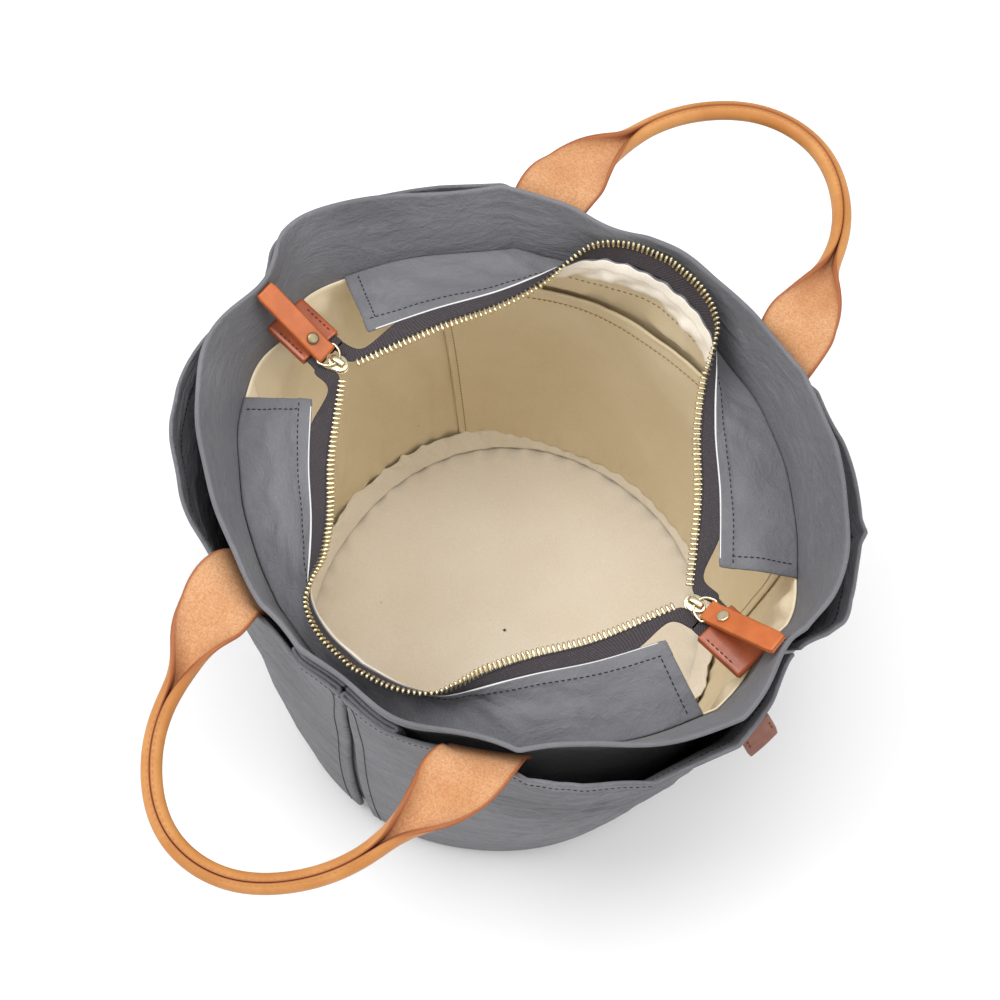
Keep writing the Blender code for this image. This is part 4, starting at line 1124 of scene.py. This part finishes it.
def tape_tail(side_x, side_y):
    """The tape's outer and inner edge past the slider."""
    clear, middle = SLIDER_WIDTH / 2 + SEAT_GAP + TAPE_WALL, SEAT_GAP + TAPE_WALL
    outer = TAB_WIDTH / 2 - LEATHER
    across = side_y * side_x
    rows = (
        (end_frame(side_x), -SLIDER_LENGTH * 0.42, clear, outer + 5 * TAPE_WALL),
        (end_frame(side_x), SLIDER_LENGTH * 0.50, clear, outer + TAPE_WALL),
        (tab_frame(side_x), SLIDER_LENGTH * 0.70, middle, outer),
        (tab_frame(side_x), TAPE_TAIL, middle, outer),
    )
    return np.array([
        [place @ Vector((x, across * outside, 0)), place @ Vector((x, across * inside, 0))]
        for place, x, inside, outside in rows
    ])


TAPES = {}
for name, side_y in (("front", -1), ("back", 1)):
    along = np.linspace(-1, 1, 33)[1:-1]
    edge, teeth = zip_line("edge", along, side_y), zip_line("teeth", along, side_y)
    across = unit(teeth - edge)
    body_rows = np.stack([
        edge + across * (FACING_WALL / 2 + SEAT_GAP),
        teeth - across * (TEETH_WIDTH / 2 + TEETH_GAP),
    ], 1)
    rows = np.concatenate([tape_tail(-1, side_y)[::-1], body_rows, tape_tail(1, side_y)])
    key = np.arange(len(rows))
    fine = np.linspace(0, key[-1], 520)
    smooth = np.stack(
        [[table_curve(key, rows[:, side, k])(fine) for k in range(3)] for side in (0, 1)]
    ).transpose(2, 0, 1)
    share = np.linspace(0, 1, 9)[None, :, None]
    grid = smooth[:, :1] * (1 - share) + smooth[:, 1:] * share
    grid = grid.transpose(1, 0, 2)
    if side_y > 0:
        grid = grid[:, ::-1]
    TAPES[name] = grid
    cloth(f"zip_tape_{name}_cloth", grid, TAPE_WALL, twill)
print("tapes:", len(pieces["zip_tape_front_cloth"].data.polygons), "faces each")

# %% [markdown]
# A metal zip's tooth is a small clamp that is pressed on the tape's corded edge, with a
# rounded head and a nib that fits the tooth opposite. One tooth is a bevelled block whose
# head is narrowed in edit mode, and it is copied every 2.66 mm.

# %% One tooth
TOOTH_SIZE = (0.00145, 0.0046, TEETH_HEIGHT * 1.05)
HEAD_NARROWED, HEAD_LOWERED, NECK_WIDENED = 0.72, 0.80, 1.08
bpy.ops.object.select_all(action="DESELECT")
bpy.ops.mesh.primitive_cube_add(size=1.0)
tooth = bpy.context.object
tooth.name = "tooth_pattern"
for vertex in tooth.data.vertices:
    vertex.co = [value * size for value, size in zip(vertex.co, TOOTH_SIZE)]
bpy.ops.object.mode_set(mode="EDIT")
shape = bmesh.from_edit_mesh(tooth.data)
bmesh.ops.subdivide_edges(
    shape,
    edges=[e for e in shape.edges if abs(e.verts[0].co.y - e.verts[1].co.y) > 0.003],
    cuts=2,
)
for vertex in shape.verts:
    if vertex.co.y > 0.001:
        vertex.co.x *= HEAD_NARROWED
        vertex.co.z *= HEAD_LOWERED
    elif vertex.co.y > 0:
        vertex.co.x *= NECK_WIDENED
bmesh.update_edit_mesh(tooth.data)
bpy.ops.object.mode_set(mode="OBJECT")
rounding = tooth.modifiers.new("rounding", "BEVEL")
rounding.width, rounding.segments, rounding.limit_method = 0.00042, 1, "ANGLE"
bpy.ops.object.modifier_apply(modifier="rounding")
tooth_points = np.array([v.co for v in tooth.data.vertices])
tooth_faces = [tuple(p.vertices) for p in tooth.data.polygons]
bpy.data.objects.remove(tooth)
print("one tooth:", len(tooth_faces), "faces")

# %% [markdown]
# The copies follow the line of the teeth, each turned to lie across the tape. Real teeth
# are never quite even, so each is turned by a fixed small amount of its own.

# %% Rows of teeth
CORD_INSET, CORD_RADIUS = 0.0024, 0.00075
SIZE_SPREAD, TILT_SPREAD = 0.03, 0.05
random = np.random.default_rng(7)
for name, side_y in (("front", -1), ("back", 1)):
    along = np.linspace(-1, 1, 1200)
    line = zip_line("teeth", along, side_y)
    edge_line = zip_line("edge", along, side_y)
    lengths = run_lengths(line)
    places = np.arange(TEETH_PITCH, lengths[-1] - TEETH_PITCH / 2, TEETH_PITCH)
    centre = at_places(places, lengths, line)
    ahead = unit(at_places(places, lengths, np.gradient(line, axis=0)))
    across = unit(centre - at_places(places, lengths, edge_line))
    across = unit(across - ahead * (across * ahead).sum(-1, keepdims=True))
    up = np.cross(ahead, across)
    up = np.where(up[:, 2:] < 0, -up, up)
    points, faces = [], []
    for k in range(len(places)):
        turned = tooth_points * (1 + SIZE_SPREAD * random.normal())
        tilt = TILT_SPREAD * random.normal()
        basis = np.stack([ahead[k] + tilt * across[k], across[k] - tilt * ahead[k], up[k]])
        if np.linalg.det(basis) < 0:
            basis[0] *= -1
        points.append(centre[k] + turned @ basis)
        faces += [[corner + k * len(tooth_points) for corner in f] for f in tooth_faces]
    row_name = f"zip_teeth_{name}_row"
    keep(row_name, smooth_mesh(row_name, np.concatenate(points), faces), brass)
    cord_path = line - unit(line - edge_line) * CORD_INSET
    tube(f"zip_cord_{name}", cord_path[6:-6:6], CORD_RADIUS, twill, 8)
print("teeth:", 2 * len(places))

# %% [markdown]
# A slider is two shield-shaped plates with a slot between them for the tapes, and a lug on
# top that holds the ring. Each plate is a cylinder that is stretched and narrowed towards the
# open end, and the bevel gives it its cast, rounded look.

# %% Sliders
BRIDGE_LENGTH, BRIDGE_HEIGHT, BRIDGE_WIRE = 0.0090, 0.0040, 0.0012
PLATE_LEVEL, PLATE_THICKNESS = 0.00165, 0.0013


def settle(name, frame, *materials):
    """Put the selected modelled object at its place in the bag, with the place in its mesh."""
    made = bpy.context.object
    made.name = name
    made.data.transform(frame @ made.matrix_world)
    made.matrix_world = Matrix.Identity(4)
    made.data.materials.clear()
    for material in materials:
        made.data.materials.append(material)
    pieces[name] = made
    return made


def finish_modifier(kind, **settings):
    made = bpy.context.object.modifiers.new("step", kind)
    for key, value in settings.items():
        setattr(made, key, value)
    bpy.ops.object.modifier_apply(modifier="step")


def slider_plate(name, middle, thick, frame):
    bpy.ops.object.select_all(action="DESELECT")
    bpy.ops.mesh.primitive_cylinder_add(vertices=32, radius=0.5, depth=1.0)
    made = bpy.context.object
    for vertex in made.data.vertices:
        x, y = vertex.co.x * SLIDER_LENGTH, vertex.co.y * SLIDER_WIDTH
        narrow = 1.0 - 0.30 * max(0.0, x / SLIDER_LENGTH * 2)
        blunt = 1.0 if abs(vertex.co.y) > 0.2 else 0.98
        vertex.co = (x * blunt, y * narrow, middle + vertex.co.z * thick)
    finish_modifier("BEVEL", width=0.0004, segments=3, limit_method="ANGLE", angle_limit=0.9)
    bpy.ops.object.shade_smooth_by_angle(angle=math.radians(35))
    return settle(name, frame, brass)


def slider_lug(name, frame):
    """The long arch that holds the ring: a bar bent from end to end of the top plate."""
    t = np.linspace(0, np.pi, 24)
    reach = BRIDGE_LENGTH / 2 - BRIDGE_WIRE / 2
    x = -np.cos(t) * reach
    z = SLIDER_HEIGHT / 2 - 0.0004 + (BRIDGE_HEIGHT - BRIDGE_WIRE / 2) * np.sin(t) ** 0.55
    path = np.array([frame @ Vector((a, 0.0, b)) for a, b in zip(x, z)])
    y_axis = np.array((frame.to_3x3() @ Vector((0, 1, 0)))[:])
    half_width = 0.0012
    across = np.array([-1, -1 / 3, 1 / 3, 1])[:, None] * half_width * y_axis
    grid = path[:, None] + across
    return cloth(name, grid[:, ::-1], 0.0011, brass)


for side_name, side_x in (("left", -1), ("right", 1)):
    frame_here = end_frame(side_x)
    slider_plate(f"slider_top_{side_name}", PLATE_LEVEL, PLATE_THICKNESS, frame_here)
    slider_plate(f"slider_under_{side_name}", -PLATE_LEVEL, PLATE_THICKNESS, frame_here)
    bpy.ops.object.select_all(action="DESELECT")
    bpy.ops.mesh.primitive_cylinder_add(
        vertices=20, radius=0.0021, depth=0.0022, location=(0.0026, 0, 0)
    )
    settle(f"slider_neck_{side_name}", frame_here, brass)
    slider_lug(f"slider_lug_{side_name}", frame_here)
print("sliders ready")

# %% [markdown]
# The ring is a bent wire. A leather strip is folded round its straight side and closed with
# a rivet. The strip is laid out from its side view: along one leaf, round the eye and back.

# %% Rings, pulls and rivets
RING_WIRE, RING_LENGTH, RING_WIDTH = 0.0007, 0.0090, 0.0132
PULL_LENGTH, PULL_WIDTH, PULL_TILT, PULL_YAW = 0.0445, 0.0104, 32.0, -3.0
RIVET_RADIUS, RIVET_CAP, RIVET_SETBACK = 0.0032, 0.0014, 0.0095


def placed(frame, points):
    turn, move = np.array(frame.to_3x3()), np.array(frame.translation)
    return np.asarray(points, float) @ turn.T + move


def ring_path():
    """A wire ring: a straight bar inside the pull and a bow through the slider's lug."""
    bar = [(RING_LENGTH, s * RING_WIDTH / 2, 0.0) for s in np.linspace(-0.86, 0.86, 14)]
    turns = np.radians(np.linspace(4, 176, 40))
    bow_x = RING_LENGTH * (0.94 - 0.94 * np.sin(turns) ** 0.9)
    bow_y = np.cos(turns) * RING_WIDTH / 2
    return np.array(bar + list(zip(bow_x, bow_y, 0 * bow_x)))


def folded_line(run, level, end):
    """A strip's middle line from its side view: along one leaf, round its end and back."""
    leaf = np.stack([run, level + 0 * run], -1)
    line = np.concatenate([leaf, end, leaf[::-1] * [1, -1]])
    return np.stack([line[:, 0], 0 * line[:, 0], line[:, 1]], -1)


def strip_middle(half, thickness, length, eye_radius):
    """The middle line of a strip folded round an eye at x = 0, with both ends at x = length."""
    level = half + thickness / 2
    round_eye = eye_radius + thickness / 2
    a = np.radians(np.linspace(112, 248, 24))
    eye = np.stack([round_eye * np.cos(a), round_eye * np.sin(a)], -1)
    straight = np.linspace(length, eye_radius * 1.9, 60)
    return folded_line(straight, level, eye)


def strip_piece(name, middle, width, thickness, frame, leather, bow=0.0, corners=0.0, length=0.0):
    share = np.linspace(-1, 1, 15)
    grid = np.repeat(middle[:, None], len(share), 1)
    reach = np.ones(len(middle))
    if corners:
        reach = 1 - 0.10 * ramp(middle[:, 0], length - corners, length)
    grid[..., 1] = share[None] * width / 2 * reach[:, None]
    grid[..., 2] += bow * (1 - share[None] ** 2)
    return cloth(name, placed(frame, grid), thickness, leather)


def rivet_cap(name, frame, sign, domed):
    """Half a rivet: a disc whose rim is rounded and whose face is domed or only slightly raised."""
    bpy.ops.object.select_all(action="DESELECT")
    bpy.ops.mesh.primitive_cylinder_add(vertices=36, radius=RIVET_RADIUS, depth=RIVET_CAP)
    made = bpy.context.object
    bpy.ops.object.mode_set(mode="EDIT")
    bpy.ops.mesh.select_all(action="DESELECT")
    shape = bmesh.from_edit_mesh(made.data)
    for face in shape.faces:
        face.select = abs(face.normal.z) > 0.9
    bpy.ops.mesh.inset(thickness=0.0009)
    for face in shape.faces:
        if face.select and abs(face.normal.z) > 0.9:
            for vertex in face.verts:
                vertex.co.z *= 1.75 if domed else 1.04
    bmesh.update_edit_mesh(made.data)
    bpy.ops.object.mode_set(mode="OBJECT")
    finish_modifier("BEVEL", width=0.00045, segments=3, limit_method="ANGLE", angle_limit=0.5)
    bpy.ops.object.shade_smooth_by_angle(angle=math.radians(50))
    lift = LEATHER + 1.5 * SEAT_GAP + RIVET_CAP / 2
    place = frame @ Matrix.Translation((RIVET_SETBACK, 0, sign * lift))
    return settle(name, place, old_brass if domed else brass)


for side_name, side_x in (("left", -1), ("right", 1)):
    frame_here = end_frame(side_x)
    ring_height = SLIDER_HEIGHT / 2 + (BRIDGE_HEIGHT - BRIDGE_WIRE) / 2
    ring_frame = frame_here @ Matrix.Translation((0, 0, ring_height))
    tube(f"pull_ring_{side_name}", placed(ring_frame, ring_path()), RING_WIRE, brass, 12, True)
    yaw = Matrix.Rotation(math.radians(PULL_YAW), 4, "Z")
    tilt = Matrix.Rotation(-math.radians(PULL_TILT), 4, "Y")
    pull_frame = ring_frame @ Matrix.Translation((RING_LENGTH, 0, 0)) @ yaw @ tilt
    middle = strip_middle(SEAT_GAP / 2, LEATHER, PULL_LENGTH, RING_WIRE + 2 * SEAT_GAP)
    strip_piece(
        f"pull_{side_name}", middle, PULL_WIDTH, LEATHER, pull_frame, pull_leather,
        bow=0.0002, corners=0.0025, length=PULL_LENGTH,
    )
    rivet_cap(f"rivet_top_{side_name}", pull_frame, 1, side_x < 0)
    rivet_cap(f"rivet_under_{side_name}", pull_frame, -1, True)
print("rings, pulls and rivets ready")

# %% [markdown]
# Both ends of the zip are held in a leather tab that is folded over the tapes and sewn along
# its long edges.

# %% End tabs
tab_lines = []
for side_name, side_x in (("left", -1), ("right", 1)):
    frame_here = tab_frame(side_x)
    slot = TAPE_WALL / 2 + SEAT_GAP
    level = slot + LEATHER / 2
    fold = TAB_START + TAB_LENGTH - level - LEATHER / 2
    a = np.radians(np.linspace(80, -80, 16))
    run = np.linspace(TAB_START, fold, 40)
    round_end = np.stack([fold + level * np.cos(a), level * np.sin(a)], -1)
    middle = folded_line(run, level, round_end)
    strip_piece(f"tab_{side_name}", middle[::-1], TAB_WIDTH, LEATHER, frame_here, tab_leather)
    x = np.linspace(TAB_START + 0.0012, fold - 0.0006, 40)
    up = np.tile(np.array((frame_here.to_3x3() @ Vector((0, 0, 1)))[:]), (40, 1))
    for side in (-1, 1):
        edge_y = side * (TAB_WIDTH / 2 - 0.0020) + 0 * x
        row = placed(frame_here, np.stack([x, edge_y, level + LEATHER / 2 + 0 * x], -1))
        tab_lines.append(stitch_line(row, up, pitch=0.0030, length=0.0022, radius=0.00032))
sewn("tab_stitches", tab_lines, brown_thread)
print("tabs ready")

# %% [markdown]
# Each handle is one strip of leather. Its ends lie flat, flesh side up, and are sewn inside
# the pocket; in between it is rolled round a core until its edges meet, so the smooth grain
# shows. A loft does this: the strip's cross section curls from flat to a closed ring.

# %% Handle shape
HANDLE_HALF_SPAN, FLAT_WIDTH, FLAT_THICKNESS = 0.072, 0.038, 0.0024
ROLL_DIAMETER, ROLL_SLIT, ROLL_CORE = 0.0104, 0.0005, 0.0009
SEWN_DEPTH, BEND_RADIUS, HANDLE_LEVEL = 0.026, 0.0095, 0.2520
HANDLE = table(
    np.arange(12),
    side=(1, 1, 0.985, 0.950, 0.915, 0.885, 0.840, 0.750, 0.620, 0.450, 0.240, 0.0),
    reach=(0.160, 0.220, 0.290, 0.370, 0.440, 0.510, 0.610, 0.720, 0.820, 0.910, 0.975, 1.0),
    curl=(0.02, 0.15, 0.33, 0.54, 0.74, 0.92, 1, 1, 1, 1, 1, 1),
)
HANDLE_FALLS = {"handle_front": (-1, 0.126, 5.0, -0.008), "handle_back": (1, 0.131, 9.0, 0.002)}


def handle_half(side_y, reach, droop):
    """Places, curls and upward directions from the sewn end to the handle's middle."""
    root_z = HANDLE_LEVEL - BEND_RADIUS
    x = np.array(HANDLE_HALF_SPAN)
    z = root_z - SEWN_DEPTH * (1 - np.linspace(0, 1, 12)[:-1])
    turn = quarter_turn(turn_at(x + 0 * z, z), 1, side_y)
    seat = 5 * SEAT_GAP + FLAT_THICKNESS / 2
    level = outline(turn, z) + outward(turn, z) * seat
    places, ups = [level], [-outward(turn, z)]
    wall = quarter_turn(turn_at(x, np.array(root_z)), 1, side_y)
    out = outward(wall, np.array(root_z))
    root = outline(wall, np.array(root_z)) + out * seat
    a = np.radians(np.linspace(0, 84, 14))
    share = ((a / np.radians(90)) ** 3)[:, None]
    over = unit(out * (1 - share) + np.array([0.0, side_y, 0.0]) * share)
    lift = np.array([0.0, 0.0, 1.0])
    factor = 1 + 0.56 * ramp(a, 0.0, 0.45)
    sideways = over * (BEND_RADIUS * (factor - np.cos(a)))[:, None]
    places.append(root + sideways + lift * BEND_RADIUS * np.sin(a)[:, None])
    ups.append(-over * np.cos(a)[:, None] + lift * np.sin(a)[:, None])
    key = np.linspace(0, 11, 150)
    slope = math.radians(droop)
    run = HANDLE["reach"](key) * reach
    line = np.stack([
        HANDLE["side"](key) * HANDLE_HALF_SPAN,
        root[1] + side_y * math.cos(slope) * run,
        HANDLE_LEVEL - math.sin(slope) * run,
    ], -1)
    places.append(line)
    ups.append(np.tile([0.0, side_y * math.sin(slope), math.cos(slope)], (len(key), 1)))
    curls = np.concatenate([np.zeros(25), HANDLE["curl"](key)])
    return np.concatenate(places), np.clip(curls, 0, 1), unit(np.concatenate(ups)), abs(line[0, 1])


def relaxed(values, times):
    """Neighbours averaged along a line, with its ends kept."""
    values = values.copy()
    for _ in range(times):
        values[1:-1] = values[1:-1] * 0.5 + (values[:-2] + values[2:]) * 0.25
    return values


def strip_sections(place, curl, up):
    """Rings of points: the outer, grain side first and then the inner, flesh side."""
    ahead = unit(np.gradient(place, axis=0))
    across = unit(np.cross(ahead, up))
    up = unit(np.cross(across, ahead))
    roll_width = math.pi * ROLL_DIAMETER - ROLL_SLIT
    width = between(FLAT_WIDTH, roll_width, np.minimum(1.0, curl * 1.15))
    bend = np.maximum(curl, 0.02) * (2 * math.pi - ROLL_SLIT / (ROLL_DIAMETER / 2))
    radius = width / bend
    full = np.maximum(radius - ROLL_CORE, FLAT_THICKNESS)
    thick = between(FLAT_THICKNESS, np.minimum(full, ROLL_DIAMETER / 2 - ROLL_CORE), curl**3)
    middle = radius * (1 - np.sin(bend / 2) / (bend / 2)) + (1 - curl) * thick / 2
    count = 31
    angle = bend[:, None] * (np.linspace(0, 1, count) - 0.5)[None]
    rings = []
    for depth in (0.0, 1.0):
        r = (radius - depth * thick)[:, None]
        sideways = r * np.sin(angle)
        rise = radius[:, None] - r * np.cos(angle) - middle[:, None]
        ring = place[:, None] + across[:, None] * sideways[..., None]
        rings.append(ring + up[:, None] * rise[..., None])
    return rings[0], rings[1], across, up


def handle(name, side_y, reach, droop, lean):
    place, curl, up, base = handle_half(side_y, reach, droop)
    mirrored = place[-2::-1] * [-1, 1, 1]
    place = np.concatenate([place, mirrored])
    up = np.concatenate([up, up[-2::-1] * [-1, 1, 1]])
    curl = np.concatenate([curl, curl[-2::-1]])
    place[:, 0] += lean * (np.maximum(0.0, np.abs(place[:, 1]) - base) / reach) ** 1.5
    place, up, curl = relaxed(place, 70), unit(relaxed(up, 90)), relaxed(curl, 20)
    outer, inner, across, up = strip_sections(place, curl, up)
    rows, count = outer.shape[:2]
    spread = across * 0.0006 * (1 - curl[:, None])
    left, right = ((outer[:, k] + inner[:, k]) / 2 + s * spread for k, s in ((0, -1), (-1, 1)))
    section = np.concatenate([outer, right[:, None], inner[:, ::-1], left[:, None]], 1)
    size = section.shape[1]
    index = np.arange(rows * size).reshape(rows, size)
    ring = np.concatenate([index, index[:, :1]], 1)
    faces = quads_of(ring).tolist() + [index[0].tolist(), index[-1].tolist()[::-1]]
    mesh = smooth_mesh(name + "_strip", section, faces)
    side = np.concatenate([np.zeros(count), [0.5], np.ones(count), [0.5]])
    cut = np.abs(np.linspace(-1, 1, count)) ** 24
    near_edge = np.concatenate([cut, [1.0], cut, [1.0]])
    for label, values in (("suede", side), ("edge", near_edge)):
        stored = mesh.attributes.new(label, "FLOAT", "POINT")
        stored.data.foreach_set("value", np.tile(values, rows))
    face_outwards(mesh)
    keep(name + "_strip", mesh, tan_leather)
    return place, curl, up, across


handle_lines = []
for name, (side_y, reach, droop, lean) in HANDLE_FALLS.items():
    place, curl, up, across = handle(name, side_y, reach, droop, lean)
    rolled = curl > 0.97
    for side in (-1, 1):
        line = place[rolled] + up[rolled] * (ROLL_DIAMETER / 2 * 0.965)
        line = line + across[rolled] * side * 0.0014
        away_from = unit(up[rolled] * 0.96 + across[rolled] * side * 0.28)
        row = stitch_line(line, away_from, pitch=0.0034, length=0.0026, radius=0.00026)
        handle_lines.append(row)
sewn("handle_stitches", handle_lines, tan_thread)
print("handles:", sum(len(pieces[n + "_strip"].data.polygons) for n in HANDLE_FALLS), "faces")

# %% [markdown]
# A small blank leather tag hangs from the front right pocket near the side seam. It is a
# flap of brown leather, a little cupped by wear.

# %% Side tag
TAG_WIDTH, TAG_LENGTH, TAG_THICKNESS, TAG_HEIGHT = 0.018, 0.011, 0.0018, 0.231
TAG_TURN, TAG_DROOP = -14.0, 42.0
TAG_ROWS, TAG_COLUMNS = 24, 19
tag_turn, tag_z = np.array(TAG_TURN), np.array(TAG_HEIGHT)
start = float(turn_at(np.array(SLIT_TOP), tag_z))
tag_along = (start + TAG_TURN) / (start - SIDE_SEAM_TURN)
tag_root = pocket_place(np.array(tag_along), tag_turn, tag_z, 0.0, 0.0)
away_from = outward(tag_turn, tag_z)
side_axis = np.array([-away_from[1], away_from[0], 0.0])
turned = Matrix(np.stack([away_from, side_axis, [0.0, 0.0, 1.0]]).tolist()).transposed().to_4x4()
tag_droop = Matrix.Rotation(math.radians(TAG_DROOP), 4, "Y")
tag_frame = Matrix.Translation(tag_root.tolist()) @ turned @ tag_droop
near = POCKET_WALL / 2 + SEAT_GAP + TAG_THICKNESS / 2
run = np.linspace(near - 0.0012, near + TAG_LENGTH, TAG_ROWS)
share = np.linspace(-1, 1, TAG_COLUMNS)
grid = np.zeros((TAG_ROWS, TAG_COLUMNS, 3))
grid[..., 0] = run[:, None]
narrowed = 1 - 0.05 * ramp(run, near + 0.008, near + TAG_LENGTH)
grid[..., 1] = share[None] * TAG_WIDTH / 2 * narrowed[:, None]
grid[..., 2] = -0.0007 * ((run - run[0]) / TAG_LENGTH)[:, None] ** 2 - 0.0005 * share[None] ** 2
cloth("side_tag_leather", placed(tag_frame, grid)[::-1], TAG_THICKNESS, tag_leather)
tag_lines = []
up = np.tile(np.array((tag_frame.to_3x3() @ Vector((0, 0, 1)))[:]), (14, 1))
x = np.linspace(near + 0.0006, near + TAG_LENGTH - 0.0012, 14)
for side in (-1, 1):
    edge_y = side * (TAG_WIDTH / 2 - 0.0016) + 0 * x
    row = placed(tag_frame, np.stack([x, edge_y, TAG_THICKNESS / 2 - 0.0004 + 0 * x], -1))
    tag_lines.append(stitch_line(row, up, pitch=0.0024, length=0.0018, radius=0.00024))
sewn("tag_stitches", tag_lines, brown_thread)
print("tag ready")

# %% [markdown]
# Every new piece rides on the imported model's only body, and the plain solids it stands for
# are hidden. The table also lists a finish of the record for each piece, which the loop leaves
# unused.

# %% Hand the pieces to the frame
ROLES = {
    "body_shell": ("grey_cotton", "body_front", "body_back"),
    "base_panel_cloth": ("grey_cotton", "base_panel"),
    "rim_stitches": ("grey_cotton",),
    "lining_wall_cloth": ("cream_cotton", "lining_wall"),
    "lining_floor_cloth": ("cream_cotton", "lining_floor"),
    "floor_binding_cloth": ("cream_cotton", "floor_binding"),
    "floor_seam_flap": ("cream_cotton",),
    "binding_stitches": ("cream_cotton",),
    "inner_pocket_cloth": ("cream_cotton", "inner_pocket"),
    "lining_stitches": ("cream_cotton",),
    "pocket_stitches": ("grey_cotton",),
    "facing_front_cloth": ("grey_cotton", "facing_front"),
    "facing_back_cloth": ("grey_cotton", "facing_back"),
    "facing_stitches": ("grey_cotton",),
    "tab_stitches": ("orange_leather",),
    "handle_stitches": ("tan_leather",),
    "handle_front_strip": ("tan_leather", "handle_front"),
    "handle_back_strip": ("tan_leather", "handle_back"),
    "side_tag_leather": ("brown_leather", "side_tag"),
    "tag_stitches": ("brown_leather",),
}
for name in POCKETS:
    ROLES[name + "_cloth"] = ("grey_cotton", name)
for name in ("front", "back"):
    ROLES[f"zip_tape_{name}_cloth"] = ("zip_tape", f"zip_tape_{name}")
    ROLES[f"zip_cord_{name}"] = ("zip_tape",)
    ROLES[f"zip_teeth_{name}_row"] = ("brass", f"zip_teeth_{name}")
    ROLES[f"zip_edge_{name}"] = ("cream_cotton",)
for name in ("left", "right"):
    ROLES[f"slider_top_{name}"] = ("brass", f"zip_slider_{name}")
    for part in ("slider_under", "slider_neck", "slider_lug"):
        ROLES[f"{part}_{name}"] = ("brass",)
    ROLES[f"pull_ring_{name}"] = ("brass", f"slider_ring_{name}")
    ROLES[f"pull_{name}"] = ("orange_leather", f"pull_strap_{name}")
    ROLES[f"rivet_top_{name}"] = ("brass", f"pull_rivet_{name}")
    ROLES[f"rivet_under_{name}"] = ("brass",)
    ROLES[f"tab_{name}"] = ("orange_leather", f"end_tab_{name}")
for name, (slot, *nodes) in ROLES.items():
    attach(pieces[name], "root")
    if nodes:
        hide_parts(*nodes)
print("pieces:", len(ROLES), "of", len(pieces))

# %% [markdown]
# The floor is a plain pale sheet that the studio light turns almost white. It is only a
# stage, so it isn't counted as part of the bag.

# %% Floor
bpy.ops.object.select_all(action="DESELECT")
bpy.ops.mesh.primitive_plane_add(size=6.0, location=(0, 0, -0.0002))
floor = bpy.context.object
floor.name = "floor"
pale = Finish("pale_floor", Base_Color=(0.92, 0.92, 0.92, 1.0), Roughness=0.9)
floor.data.materials.append(pale.material)
print("floor placed")
